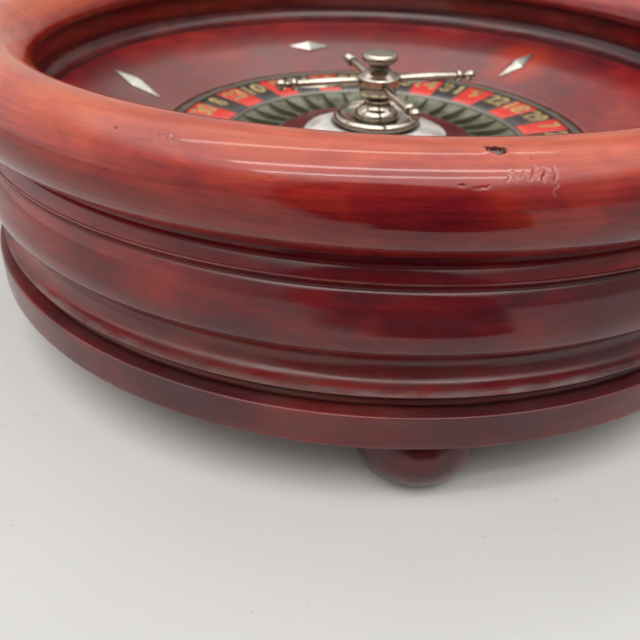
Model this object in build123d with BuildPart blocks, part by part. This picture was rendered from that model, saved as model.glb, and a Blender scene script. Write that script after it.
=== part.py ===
from build123d import *
from math import cos, pi, radians, sin, sqrt
import os

# Table-top roulette wheel: a turned wooden bowl on four bun feet, and a wheelhead that spins
# on two ball bearings. Millimetres. +Z is up along the wheel's axis, the origin is on that
# axis at table height, and -Y is the front.
# Azimuths are measured from the back (+Y) towards the right (+X).
# Except in the feet and pads, heights (..._Z, and the second column of every section) are
# taken from the bottom of the plinth. Section points are (radius, height).

os.makedirs("parts", exist_ok=True)

# ---------------------------------------------------------------- driving dimensions
FOOT_H = 38.0           # height of the bun feet with their felt pads
FOOT_PITCH_R = 205.6    # radius of the circle the feet stand on
FOOT_AZ = 172.0         # azimuth of the front foot
FOOT_NAMES = ("foot_front", "foot_left", "foot_back", "foot_right")

PLINTH_R = 239.1        # bottom flange
PLINTH_H = 17.6
BOARD_T = 8.0           # underside board

SHELL_R = 205.0         # inner radius of the glued ring stack
FLOOR_T = 12.0
FLOOR_TOP_Z = PLINTH_H + FLOOR_T

BEAD_Z0, BEAD_Z1 = 45.1, 82.1       # middle bead ring
NECK_Z1 = 92.2                      # top of the neck ring
NECK_IN_R = 216.0                   # inner radius of the neck ring
REBATE_Z = 72.0                     # step in the middle bead ring under the ball track

WALL_R = 211.0                      # wall the ball runs against
TRACK_R, TRACK_Z0, TRACK_Z1 = 203.0, 88.0, 97.0
TRACK_STEP_Z = 78.0                 # step in the track ring that carries the apron

APRON_R0, APRON_Z0 = 137.2, 63.4    # inner edge of the sloped apron
APRON_T = 9.0                       # thickness at that edge
APRON_SLOPE = (TRACK_Z0 - APRON_Z0) / (TRACK_R - APRON_R0)
APRON_UNDER_SLOPE = 0.3612

# 12 x 28 x 8 deep-groove ball bearings
BEARING_BORE, BEARING_OD, BEARING_W = 12.0, 28.0, 8.0
INNER_RACE_R, OUTER_RACE_R = 8.3, 11.7      # facing surfaces of the two races
BEARING_LOW_Z, BEARING_UP_Z = 36.0, 52.0    # lower faces of the two bearings
BEARING_FIT = 0.02
SPINDLE_R = BEARING_BORE / 2

ROTOR_R = 136.0
HUB_Z = 34.8                        # underside of the hub flange
HUB_FLANGE_T = 3.5
WHEEL_Z = HUB_Z + HUB_FLANGE_T      # underside of the wheelhead
NUM_R0, NUM_R1 = 100.0, 129.7       # number ring
NUM_T = 2.0
POCKET_R0, POCKET_R1 = 64.8, 95.9   # pocket ring
POCKET_SEAT_Z = 47.5                # seat of the pocket ring and the cone
CONE_R0 = 46.7                      # wooden cone band, inner edge
OUTER_TRIM_Z, INNER_TRIM_Z = 57.0, 54.0     # seats of the trim rings
GAP = 0.05                          # gap between fitted pieces


def level(height):
    """Horizontal plane at a height above the bottom of the plinth."""
    return Plane.XY.offset(FOOT_H + height)


def section_at(x, y, height):
    """Upright plane for a turned profile: sketch x is radius, sketch y is height."""
    return Plane((x, y, FOOT_H + height), x_dir=(1, 0, 0), z_dir=(0, -1, 0))


SECTION = section_at(0, 0, 0)


def polar(azimuth, radius):
    """X, Y of a point at an azimuth and a radius."""
    return (radius * sin(radians(azimuth)), radius * cos(radians(azimuth)))


def ring_spots(radius, count, start_angle=0.0):
    """X, Y of evenly spaced points, counter-clockwise from +X."""
    angles = [radians(start_angle + i * 360 / count) for i in range(count)]
    return [(radius * cos(angle), radius * sin(angle)) for angle in angles]


def num_z(radius):
    """Top of the number ring, which slopes gently down towards the pockets."""
    return 58.1 + 0.125 * (radius - 97.3)


def apron_z(radius):
    """Top of the apron."""
    return APRON_Z0 + APRON_SLOPE * (radius - APRON_R0)


def apron_under(radius):
    """Underside of the apron."""
    return APRON_Z0 - APRON_T + APRON_UNDER_SLOPE * (radius - APRON_R0)


def save(builder, name):
    builder.part.label = name
    export_step(builder.part, "parts/" + name + ".step")


def save_turned(name, *profile):
    """Ring turned from a plain polygon."""
    with BuildPart() as ring:
        with BuildSketch(SECTION):
            with BuildLine():
                Polyline(*profile, close=True)
            make_face()
        revolve(axis=Axis.Z)
    save(ring, name)


def save_bars(name, spots, radius, bottom, length, bevel):
    """Upright round bars, bevelled at both ends."""
    with BuildPart() as bars:
        with BuildSketch(level(bottom)):
            with Locations(spots):
                Circle(radius)
        extrude(amount=length)
        chamfer(bars.edges().filter_by(GeomType.CIRCLE), length=bevel)
    save(bars, name)


def save_screws(name, spots, height, profile):
    """Upright screws; the profile's heights count from the given height."""
    with BuildPart() as screws:
        for x, y in spots:
            with BuildSketch(section_at(x, y, height)):
                with BuildLine():
                    Polyline(*profile, close=True)
                make_face()
            revolve(axis=Axis((x, y, 0), (0, 0, 1)))
    save(screws, name)


# ---------------------------------------------------------------- feet
PAD_T, PAD_R = 1.5, 12.0    # felt pads
SOLE_R = 13.0               # flat underside of a foot
FOOT_R = 30.0               # widest radius of a bun foot
FOOT_TOP_R = 22.5
STUD_R, STUD_L = 4.0, 30.0
STUD_SINK = 18.0            # length of stud inside the foot
STUD_HOLE_R = STUD_R + 0.05
STUD_END_GAP = 0.5          # extra hole depth past each end of the stud

foot_spots = [polar(FOOT_AZ + i * 360 / len(FOOT_NAMES), FOOT_PITCH_R)
              for i in range(len(FOOT_NAMES))]


def save_foot(name, x, y):
    with BuildPart(Plane((x, y, 0))) as foot:
        with BuildSketch(Plane((x, y, 0), x_dir=(1, 0, 0), z_dir=(0, -1, 0))):
            with BuildLine():
                Line((0, PAD_T), (SOLE_R, PAD_T))
                Spline((SOLE_R, PAD_T), (21.5, 4.4), (28.2, 12.5), (FOOT_R, 21.5),
                       (27.6, 31.0), (FOOT_TOP_R, FOOT_H), tangents=[(1, 0.05), (-0.55, 1)])
                Line((FOOT_TOP_R, FOOT_H), (0, FOOT_H))
                Line((0, FOOT_H), (0, PAD_T))
            make_face()
        revolve(axis=Axis((x, y, 0), (0, 0, 1)))
        # blind hole for the stud
        with BuildSketch(Plane((x, y, FOOT_H))):
            Circle(STUD_HOLE_R)
        extrude(amount=-(STUD_SINK + STUD_END_GAP), mode=Mode.SUBTRACT)
    save(foot, name)


for foot_name, (x, y) in zip(FOOT_NAMES, foot_spots):
    save_foot(foot_name, x, y)

with BuildPart() as felt_pads:
    with BuildSketch(Plane.XY):
        with Locations(foot_spots):
            Circle(PAD_R)
    extrude(amount=PAD_T)
save(felt_pads, "felt_pads")

save_bars("foot_studs", foot_spots, STUD_R, -STUD_SINK, STUD_L, bevel=0.8)

# ---------------------------------------------------------------- plinth and underside board
PLINTH_BORE_R = 180.0
BOARD_SEAT_R = 190.0        # recess in the plinth that takes the board
BOARD_R = 189.8
PLINTH_BEVEL = 0.6          # bottom edge
PLINTH_ROUND_R = 1.4        # top edge
BOARD_SCREWS = 8
BOARD_SCREW_R = 184.8
BOARD_SCREW_START = 22.5    # degrees from +X

with BuildPart() as plinth_ring:
    with BuildSketch(SECTION):
        with BuildLine():
            round_start = (PLINTH_R, PLINTH_H - PLINTH_ROUND_R)
            round_end = (PLINTH_R - PLINTH_ROUND_R, PLINTH_H)
            Polyline((PLINTH_BORE_R, BOARD_T), (BOARD_SEAT_R, BOARD_T), (BOARD_SEAT_R, 0),
                     (PLINTH_R - PLINTH_BEVEL, 0), (PLINTH_R, PLINTH_BEVEL), round_start)
            RadiusArc(round_start, round_end, -PLINTH_ROUND_R)
            Polyline(round_end, (PLINTH_BORE_R, PLINTH_H), (PLINTH_BORE_R, BOARD_T))
        make_face()
    revolve(axis=Axis.Z)
    with BuildSketch(level(0)):
        with Locations(foot_spots):
            Circle(STUD_HOLE_R)
    extrude(amount=STUD_L - STUD_SINK + STUD_END_GAP, mode=Mode.SUBTRACT)
    with BuildSketch(level(BOARD_T)):
        with PolarLocations(BOARD_SCREW_R, BOARD_SCREWS, start_angle=BOARD_SCREW_START):
            Circle(1.55)
    extrude(amount=6.0, mode=Mode.SUBTRACT)
save(plinth_ring, "plinth_ring")

board_screw_spots = ring_spots(BOARD_SCREW_R, BOARD_SCREWS, BOARD_SCREW_START)
with BuildPart() as base_board:
    with BuildSketch(level(0)):
        Circle(BOARD_R)
    extrude(amount=BOARD_T)
    with Locations(level(0)):
        with Locations(board_screw_spots):
            # turned over, so that the countersinks open downwards
            with Locations(Location((0, 0, 0), (180, 0, 0))):
                CounterSinkHole(radius=1.75, counter_sink_radius=3.6, depth=BOARD_T)
save(base_board, "base_board")

save_screws("base_screws", board_screw_spots, 0,
            [(0, 0.1), (3.4, 0.1), (1.5, 2.1), (1.5, 12.6), (0.2, 13.6), (0, 13.6)])

# ---------------------------------------------------------------- floor
FLANGE_SCREWS = 4
FLANGE_SCREW_R = 38.5
FLANGE_SCREW_START = 45     # degrees from +X

with BuildPart() as bowl_floor:
    with BuildSketch(level(PLINTH_H)):
        Circle(SHELL_R - GAP)
        Circle(SPINDLE_R + 0.1, mode=Mode.SUBTRACT)
        with PolarLocations(FLANGE_SCREW_R, FLANGE_SCREWS, start_angle=FLANGE_SCREW_START):
            Circle(2.05, mode=Mode.SUBTRACT)
    extrude(amount=FLOOR_T)
save(bowl_floor, "bowl_floor")

# ---------------------------------------------------------------- glued stack of turned rings
LEDGE_R = 230.2                     # foot of the cove ring
LEDGE_BEAD_H = 4.8
EDGE_R, EDGE_Z = 235.0, 25.8        # crisp edge over the ledge bead
COVE_R, COVE_Z = 224.9, 36.0        # deepest point of the cove
COVE_TOP_R = 231.5

with BuildPart() as cove_ring:
    with BuildSketch(SECTION):
        with BuildLine():
            ledge_bead_top = (LEDGE_R, PLINTH_H + LEDGE_BEAD_H)
            cove_start = (EDGE_R - 0.7, EDGE_Z + 0.5)
            cove_end = (COVE_TOP_R, BEAD_Z0)
            Line((SHELL_R, PLINTH_H), (LEDGE_R, PLINTH_H))
            # small rounded bead on the ledge, with a groove over it
            ThreePointArc((LEDGE_R, PLINTH_H), (232.0, PLINTH_H + LEDGE_BEAD_H / 2),
                          ledge_bead_top)
            Line(ledge_bead_top, (LEDGE_R, 23.2))
            Polyline((LEDGE_R, 23.2), (EDGE_R - 0.5, EDGE_Z - 0.9), (EDGE_R, EDGE_Z), cove_start)
            Spline(cove_start, (227.6, 29.6), (COVE_R, COVE_Z), (227.0, 42.2), cove_end,
                   tangents=[(-1, 0.15), (1, 0.35)])
            Polyline(cove_end, (SHELL_R, BEAD_Z0), (SHELL_R, PLINTH_H))
        make_face()
    revolve(axis=Axis.Z)
save(cove_ring, "cove_ring")

BEAD_R = 239.9                      # middle bead, widest
BEAD_FOOT = (230.9, BEAD_Z0)
BEAD_NECK = (234.3, 77.2)           # hollow over the bead
BEAD_LIP = (236.9, 81.2)            # flared top edge

with BuildPart() as middle_bead_ring:
    with BuildSketch(SECTION):
        with BuildLine():
            Line((SHELL_R, BEAD_Z0), BEAD_FOOT)
            Spline(BEAD_FOOT, (236.6, 48.0), (BEAD_R, 56.5), (239.0, 66.0), (236.9, 73.6),
                   BEAD_NECK, tangents=[(1, 0.12), (-1, 0.75)])
            Spline(BEAD_NECK, (234.9, 78.9), BEAD_LIP, tangents=[(0.05, 1), (0.75, 1)])
            Polyline(BEAD_LIP, (236.4, BEAD_Z1), (NECK_IN_R, BEAD_Z1), (NECK_IN_R, REBATE_Z),
                     (SHELL_R, REBATE_Z), (SHELL_R, BEAD_Z0))
        make_face()
    revolve(axis=Axis.Z)
save(middle_bead_ring, "middle_bead_ring")

NECK_FOOT = (236.2, BEAD_Z1)
NECK_STEP = ((232.7, 87.3), (231.2, 88.2))
NECK_TOP = (232.2, NECK_Z1)

with BuildPart() as neck_ring:
    with BuildSketch(SECTION):
        with BuildLine():
            Line((NECK_IN_R, BEAD_Z1), NECK_FOOT)
            Spline(NECK_FOOT, (234.7, 84.6), NECK_STEP[0], tangents=[(-0.45, 1), (-0.9, 1)])
            Line(*NECK_STEP)
            Spline(NECK_STEP[1], (230.6, 90.0), NECK_TOP, tangents=[(-0.5, 1), (1, 0.8)])
            Polyline(NECK_TOP, (NECK_IN_R, NECK_Z1), (NECK_IN_R, BEAD_Z1))
        make_face()
    revolve(axis=Axis.Z)
save(neck_ring, "neck_ring")

# bull-nose rim with the overhanging lip that keeps the ball on its track
RIM_R, RIM_Z, RIM_NOSE_R = 228.0, 113.5, 22.05   # centre and radius of the nose's section
RIM_LEAN = radians(35)                           # the nose ends this far inside its crest
RIM_FOOT = (RIM_R + sqrt(RIM_NOSE_R**2 - (RIM_Z - NECK_Z1) ** 2), NECK_Z1)
NOSE_END = (RIM_R - RIM_NOSE_R * sin(RIM_LEAN), RIM_Z + RIM_NOSE_R * cos(RIM_LEAN))
LIP = (203.5, 116.5)
LIP_UNDER = (208.2, 111.6)

with BuildPart() as rim_ring:
    with BuildSketch(SECTION):
        with BuildLine():
            ThreePointArc(RIM_FOOT, (RIM_R + RIM_NOSE_R, RIM_Z), NOSE_END)
            Spline(NOSE_END, LIP, tangents=[(-cos(RIM_LEAN), -sin(RIM_LEAN)), (0, -1)])
            ThreePointArc(LIP, (204.9, 113.2), LIP_UNDER)
            Polyline(LIP_UNDER, (WALL_R, 111.2), (WALL_R, NECK_Z1), RIM_FOOT)
        make_face()
    revolve(axis=Axis.Z)
save(rim_ring, "rim_ring")

# ---------------------------------------------------------------- ball track
TRACK_IN_R = 197.0      # inner radius under the apron

with BuildPart() as ball_track_ring:
    with BuildSketch(SECTION):
        with BuildLine():
            ThreePointArc((TRACK_R, TRACK_Z0), (208.4, 91.2), (WALL_R, TRACK_Z1))
            Polyline((WALL_R, TRACK_Z1), (WALL_R, NECK_Z1), (NECK_IN_R, NECK_Z1),
                     (NECK_IN_R, REBATE_Z), (TRACK_IN_R, REBATE_Z), (TRACK_IN_R, TRACK_STEP_Z),
                     (TRACK_R, TRACK_STEP_Z), (TRACK_R, TRACK_Z0))
        make_face()
    revolve(axis=Axis.Z)
save(ball_track_ring, "ball_track_ring")

# ---------------------------------------------------------------- apron and deflectors
APRON_STEP_R = TRACK_IN_R - 0.1
DEFL_COUNT = 6
DEFL_R = 167.8          # deflector pitch radius
DEFL_AZ = -80.6         # azimuth of the first deflector
DEFL_H = 4.6            # crown above the apron
DEFL_EDGE_H = 0.8       # upright edge above the apron
DEFL_SUNK = 0.3         # depth let into the apron
DEFL_CROWN = 0.05       # size of the crown as a share of the outline
DEFL_HOLE_R = 1.6
# used in turn: length along the slope, width across it, turn in degrees
DEFL_SHAPES = ((40.0, 12.5, -10), (12.5, 35.0, -4))
DEFL_SCREW_TOP, DEFL_SCREW_L = 2.4, 11.6

deflector_azimuths = [DEFL_AZ + i * 360 / DEFL_COUNT for i in range(DEFL_COUNT)]


def apron_plane(azimuth):
    """Plane lying on the apron: x runs down the slope to the axis, z stands off the wood."""
    out_x, out_y = polar(azimuth, 1)
    x, y = polar(azimuth, DEFL_R)
    run = sqrt(1 + APRON_SLOPE**2)
    return Plane((x, y, FOOT_H + apron_z(DEFL_R)),
                 x_dir=(-out_x / run, -out_y / run, -APRON_SLOPE / run),
                 z_dir=(-out_x * APRON_SLOPE / run, -out_y * APRON_SLOPE / run, 1 / run))


with BuildPart() as apron:
    with BuildSketch(SECTION):
        with BuildLine():
            Polyline((APRON_R0, apron_under(APRON_R0)), (APRON_R0, APRON_Z0),
                     (TRACK_R - GAP, TRACK_Z0 - 0.02), (TRACK_R - GAP, TRACK_STEP_Z),
                     (APRON_STEP_R, TRACK_STEP_Z), (APRON_STEP_R, apron_under(APRON_STEP_R)),
                     close=True)
        make_face()
    revolve(axis=Axis.Z)
    for azimuth in deflector_azimuths:
        with BuildSketch(apron_plane(azimuth).offset(1.0)):
            Circle(DEFL_HOLE_R)
        extrude(amount=-14.0, mode=Mode.SUBTRACT)
save(apron, "apron")

SUPPORT_R0, SUPPORT_R1 = 138.0, 150.0
save_turned("apron_support_ring", (SUPPORT_R0, FLOOR_TOP_Z), (SUPPORT_R1, FLOOR_TOP_Z),
            (SUPPORT_R1, apron_under(SUPPORT_R1)), (SUPPORT_R0, apron_under(SUPPORT_R0)))


def diamond(length, width, turn, share=1.0):
    """Corners of a deflector's outline, scaled by a share."""
    half_l, half_w = length / 2 * share, width / 2 * share
    cosine, sine = cos(radians(turn)), sin(radians(turn))
    return [(x * cosine - y * sine, x * sine + y * cosine)
            for x, y in ((half_l, 0), (0, half_w), (-half_l, 0), (0, -half_w))]


def save_deflector(name, plane, shape):
    with BuildPart() as deflector:
        with BuildSketch(plane.offset(-DEFL_SUNK)):
            with BuildLine():
                Polyline(*diamond(*shape), close=True)
            make_face()
        extrude(amount=DEFL_SUNK + DEFL_EDGE_H)
        with BuildSketch(plane.offset(DEFL_EDGE_H)):
            with BuildLine():
                Polyline(*diamond(*shape), close=True)
            make_face()
        with BuildSketch(plane.offset(DEFL_H)):
            with BuildLine():
                Polyline(*diamond(*shape, share=DEFL_CROWN), close=True)
            make_face()
        loft()
        with BuildSketch(plane.offset(-DEFL_SUNK)):
            Circle(DEFL_HOLE_R)
        extrude(amount=3.0, mode=Mode.SUBTRACT)
    save(deflector, name)


for i, azimuth in enumerate(deflector_azimuths):
    save_deflector("deflector_" + str(i + 1), apron_plane(azimuth), DEFL_SHAPES[i % 2])

with BuildPart() as deflector_screws:
    for azimuth in deflector_azimuths:
        with BuildSketch(apron_plane(azimuth).offset(DEFL_SCREW_TOP)):
            Circle(1.5)
        extrude(amount=-DEFL_SCREW_L)
        # head under the apron
        with BuildSketch(apron_plane(azimuth).offset(DEFL_SCREW_TOP - DEFL_SCREW_L)):
            Circle(3.0)
        extrude(amount=-1.8)
save(deflector_screws, "deflector_screws")

# ---------------------------------------------------------------- spindle and its flange
FLANGE_R, FLANGE_T, FLANGE_BEVEL = 44.0, 3.0, 0.5
FLANGE_TOP_Z = FLOOR_TOP_Z + FLANGE_T
SPINDLE_Z0, SPINDLE_Z1 = 21.6, 68.0
WASHER_Z = BEARING_UP_Z + BEARING_W
WASHER_T = 1.0
NUT_BORE_R = SPINDLE_R + GAP

with BuildPart() as spindle_flange:
    with BuildSketch(SECTION):
        with BuildLine():
            flange_bore_r = SPINDLE_R + BEARING_FIT
            Polyline((flange_bore_r, FLOOR_TOP_Z), (FLANGE_R, FLOOR_TOP_Z),
                     (FLANGE_R, FLANGE_TOP_Z - FLANGE_BEVEL),
                     (FLANGE_R - FLANGE_BEVEL, FLANGE_TOP_Z), (10.0, FLANGE_TOP_Z),
                     (INNER_RACE_R, FLANGE_TOP_Z + 1.0), (INNER_RACE_R, BEARING_LOW_Z),
                     (flange_bore_r, BEARING_LOW_Z), close=True)
        make_face()
    revolve(axis=Axis.Z)
    with BuildSketch(level(FLOOR_TOP_Z)):
        with PolarLocations(FLANGE_SCREW_R, FLANGE_SCREWS, start_angle=FLANGE_SCREW_START):
            Circle(2.6)
    extrude(amount=FLANGE_T, mode=Mode.SUBTRACT)
save(spindle_flange, "spindle_flange")

save_screws("spindle_flange_screws",
            ring_spots(FLANGE_SCREW_R, FLANGE_SCREWS, FLANGE_SCREW_START), FLANGE_TOP_Z,
            [(0, -12.0), (1.6, -12.0), (2.0, -11.4), (2.0, 0.0), (4.0, 0.0), (4.0, 1.2),
             (2.8, 2.4), (0, 2.4)])

save_bars("spindle", [(0, 0)], SPINDLE_R, SPINDLE_Z0, SPINDLE_Z1 - SPINDLE_Z0, bevel=0.8)

with BuildPart() as spindle_washer:
    with BuildSketch(level(WASHER_Z)):
        Circle(INNER_RACE_R)
        Circle(NUT_BORE_R, mode=Mode.SUBTRACT)
    extrude(amount=WASHER_T)
save(spindle_washer, "spindle_washer")

with BuildPart() as spindle_nut:
    with BuildSketch(level(WASHER_Z + WASHER_T)):
        RegularPolygon(radius=9.0, side_count=6, major_radius=False)
        Circle(NUT_BORE_R, mode=Mode.SUBTRACT)
    extrude(amount=5.6)
save(spindle_nut, "spindle_nut")

# ---------------------------------------------------------------- ball bearings
BALLS = 8
BALL_R, BALL_PITCH_R, GROOVE_R = 2.38, 10.0, 2.42
CAGE_R0, CAGE_R1, CAGE_H = 9.3, 10.7, 6.4
CAGE_HOLE_R = 2.46
CAGE_CUT_R = 8.0        # radius where the cage hole cuts start


def save_race(name, radius_in, radius_out, middle):
    with BuildPart() as race:
        with BuildSketch(SECTION):
            with Locations(((radius_in + radius_out) / 2, middle)):
                Rectangle(radius_out - radius_in, BEARING_W)
            with Locations((BALL_PITCH_R, middle)):
                Circle(GROOVE_R, mode=Mode.SUBTRACT)
        revolve(axis=Axis.Z)
    save(race, name)


def save_bearing(name, middle):
    save_race(name + "_inner_race", SPINDLE_R + BEARING_FIT, INNER_RACE_R, middle)
    save_race(name + "_outer_race", OUTER_RACE_R, BEARING_OD / 2, middle)
    with BuildPart() as balls:
        with Locations(level(middle)):
            with PolarLocations(BALL_PITCH_R, BALLS):
                Sphere(BALL_R)
    save(balls, name + "_balls")
    with BuildPart() as cage:
        with BuildSketch(level(middle - CAGE_H / 2)):
            Circle(CAGE_R1)
            Circle(CAGE_R0, mode=Mode.SUBTRACT)
        extrude(amount=CAGE_H)
        for i in range(BALLS):
            out_x, out_y = cos(2 * pi * i / BALLS), sin(2 * pi * i / BALLS)
            with BuildSketch(Plane((CAGE_CUT_R * out_x, CAGE_CUT_R * out_y, FOOT_H + middle),
                                   x_dir=(0, 0, 1), z_dir=(out_x, out_y, 0))):
                Circle(CAGE_HOLE_R)
            extrude(amount=4.0, mode=Mode.SUBTRACT)
    save(cage, name + "_cage")


save_bearing("lower_bearing", BEARING_LOW_Z + BEARING_W / 2)
save_bearing("upper_bearing", BEARING_UP_Z + BEARING_W / 2)

# ---------------------------------------------------------------- rotor hub
HUB_R = 19.0
HUB_FLANGE_R = 34.0
HUB_SHOULDER_Z = 62.0
HUB_NOSE_R, HUB_TOP_Z = 16.0, 66.2
HUB_RIB_R = 12.2        # bore of the rib between the two bearings
HUB_SCREWS = 4
HUB_SCREW_R = 27.0
HUB_HOLE_R = 2.1

with BuildPart() as rotor_hub:
    with BuildSketch(SECTION):
        with BuildLine():
            seat_r = BEARING_OD / 2 + BEARING_FIT
            rib_z0 = BEARING_LOW_Z + BEARING_W
            Polyline((seat_r, HUB_Z), (HUB_FLANGE_R, HUB_Z), (HUB_FLANGE_R, WHEEL_Z),
                     (HUB_R, WHEEL_Z), (HUB_R, HUB_SHOULDER_Z), (HUB_NOSE_R, HUB_SHOULDER_Z),
                     (HUB_NOSE_R, HUB_TOP_Z), (seat_r, HUB_TOP_Z), (seat_r, BEARING_UP_Z),
                     (HUB_RIB_R, BEARING_UP_Z), (HUB_RIB_R, rib_z0), (seat_r, rib_z0),
                     close=True)
        make_face()
    revolve(axis=Axis.Z)
    with BuildSketch(level(HUB_Z)):
        with PolarLocations(HUB_SCREW_R, HUB_SCREWS):
            Circle(HUB_HOLE_R)
    extrude(amount=HUB_FLANGE_T, mode=Mode.SUBTRACT)
    with Locations(level(HUB_Z)):
        with PolarLocations(HUB_SCREW_R, HUB_SCREWS):
            Cone(4.3, HUB_HOLE_R, 2.2, align=(Align.CENTER, Align.CENTER, Align.MIN),
                 mode=Mode.SUBTRACT)
save(rotor_hub, "rotor_hub")

save_screws("rotor_hub_screws", ring_spots(HUB_SCREW_R, HUB_SCREWS), HUB_Z,
            [(0, 0.1), (4.1, 0.1), (2.0, 2.2), (2.0, 13.4), (0.2, 14.6), (0, 14.6)])

# ---------------------------------------------------------------- wheelhead and its rings
WHEEL_TOP_Z = 64.8
WHEEL_CONE_Z = 58.2     # foot of the wheelhead's cone
CONE_TOP_R = 28.0       # top of that cone
WHEEL_BORE_R = HUB_R + GAP

with BuildPart() as wheelhead:
    with BuildSketch(SECTION):
        with BuildLine():
            Polyline((WHEEL_BORE_R, WHEEL_Z), (ROTOR_R - 1.5, WHEEL_Z), (ROTOR_R, WHEEL_Z + 1.5),
                     (ROTOR_R, OUTER_TRIM_Z), (NUM_R1 + GAP, OUTER_TRIM_Z),
                     (NUM_R1 + GAP, num_z(NUM_R1) - NUM_T), (NUM_R0 - GAP, num_z(NUM_R0) - NUM_T),
                     (NUM_R0 - GAP, INNER_TRIM_Z), (POCKET_R1 + 0.02, INNER_TRIM_Z),
                     (POCKET_R1 + 0.02, POCKET_SEAT_Z), (CONE_R0 - GAP, POCKET_SEAT_Z),
                     (CONE_R0 - GAP, WHEEL_CONE_Z), (CONE_TOP_R, WHEEL_TOP_Z),
                     (WHEEL_BORE_R, WHEEL_TOP_Z), close=True)
        make_face()
    revolve(axis=Axis.Z)
    with BuildSketch(level(WHEEL_Z)):
        with PolarLocations(HUB_SCREW_R, HUB_SCREWS):
            Circle(2.05)
    extrude(amount=11.5, mode=Mode.SUBTRACT)
save(wheelhead, "wheelhead")


def save_crowned(name, radius_in, radius_out, bottom, top_out, crown, top_in):
    """Ring with a flat seat, upright sides and an arched top through the crown point."""
    with BuildPart() as ring:
        with BuildSketch(SECTION):
            with BuildLine():
                Polyline((radius_in, bottom), (radius_out, bottom), (radius_out, top_out))
                ThreePointArc((radius_out, top_out), crown, (radius_in, top_in))
                Line((radius_in, top_in), (radius_in, bottom))
            make_face()
        revolve(axis=Axis.Z)
    save(ring, name)


save_crowned("outer_trim_ring", NUM_R1 + 0.1, ROTOR_R, OUTER_TRIM_Z,
             top_out=62.7, crown=(133.2, 63.5), top_in=62.5)
save_crowned("inner_trim_ring", POCKET_R1 + 0.1, NUM_R0 - 0.1, INNER_TRIM_Z,
             top_out=58.5, crown=(97.9, 59.0), top_in=58.2)
# the pocket ring's top is hollow, so its middle point lies low
save_crowned("pocket_ring", POCKET_R0, POCKET_R1, POCKET_SEAT_Z,
             top_out=57.4, crown=(80.0, 51.6), top_in=56.2)

num_seat_gap = 0.01
save_turned("number_ring", (NUM_R0, num_z(NUM_R0) - NUM_T + num_seat_gap),
            (NUM_R1, num_z(NUM_R1) - NUM_T + num_seat_gap),
            (NUM_R1, num_z(NUM_R1)), (NUM_R0, num_z(NUM_R0)))

# one thin fret between each pair of pockets, let into the pocket ring
POCKETS = 37
POCKET_AZ = -1.16       # azimuth of one pocket centre
FRET_T = 1.2
FRET_OUTLINE = [(65.6, 50.2), (95.4, 50.2), (95.4, 58.3), (92.0, 58.0), (80.0, 57.0),
                (68.0, 56.9), (65.6, 56.6)]

with BuildPart() as pocket_frets:
    for i in range(POCKETS):
        out_x, out_y = polar(POCKET_AZ + (i + 0.5) * 360 / POCKETS, 1)
        with BuildSketch(Plane((0, 0, FOOT_H), x_dir=(out_x, out_y, 0),
                               z_dir=(out_y, -out_x, 0))):
            with BuildLine():
                Polyline(*FRET_OUTLINE, close=True)
            make_face()
        extrude(amount=FRET_T / 2, both=True)
save(pocket_frets, "pocket_frets")

with BuildPart() as rotor_cone:
    with BuildSketch(SECTION):
        with BuildLine():
            cone_r1 = POCKET_R0 - GAP
            cone_edge = (POCKET_R0 - 1.0, 57.0)
            Polyline((CONE_R0, POCKET_SEAT_Z), (cone_r1, POCKET_SEAT_Z), (cone_r1, 56.4),
                     cone_edge)
            ThreePointArc(cone_edge, (55.5, 58.7), (CONE_R0, 59.6))
            Line((CONE_R0, 59.6), (CONE_R0, POCKET_SEAT_Z))
        make_face()
    revolve(axis=Axis.Z)
save(rotor_cone, "rotor_cone")

PLATE_R0, PLATE_TOP_Z = 20.0, 66.6
with BuildPart() as cone_plate:
    with BuildSketch(SECTION):
        with BuildLine():
            plate_rim = (CONE_R0 - GAP, 60.2)
            Polyline((PLATE_R0, WHEEL_TOP_Z), (CONE_TOP_R, WHEEL_TOP_Z),
                     (CONE_R0 - GAP, WHEEL_CONE_Z), plate_rim)
            ThreePointArc(plate_rim, (37.4, 63.9), (CONE_TOP_R, PLATE_TOP_Z))
            Polyline((CONE_TOP_R, PLATE_TOP_Z), (PLATE_R0, PLATE_TOP_Z), (PLATE_R0, WHEEL_TOP_Z))
        make_face()
    revolve(axis=Axis.Z)
save(cone_plate, "cone_plate")

# ---------------------------------------------------------------- turret
TURRET_R = 27.9                     # turret base ring
TURRET_SEAT_Z = 66.7
COLUMN_Z = 69.6                     # top of the base under the column
TURRET_HUB_Z, KNOB_Z = 82.8, 101.0  # undersides of the hub and the knob
TURRET_STUD_R = 2.5
TURRET_HOLE_R = TURRET_STUD_R + GAP
TURRET_HOLE_Z = 73.5                # bottom of the stud's hole in the column

with BuildPart() as turret_base:
    with BuildSketch(SECTION):
        with BuildLine():
            Polyline((16.05, 62.2), (18.9, 62.2), (18.9, TURRET_SEAT_Z), (25.4, TURRET_SEAT_Z))
            ThreePointArc((25.4, TURRET_SEAT_Z), (TURRET_R, 69.9), (25.4, 72.5))
            Line((25.4, 72.5), (23.8, 71.3))
            ThreePointArc((23.8, 71.3), (19.5, 69.9), (14.4, COLUMN_Z))
            Polyline((14.4, COLUMN_Z), (12.0, COLUMN_Z), (12.0, TURRET_SEAT_Z),
                     (16.05, TURRET_SEAT_Z), (16.05, 62.2))
        make_face()
    revolve(axis=Axis.Z)
save(turret_base, "turret_base")

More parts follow.
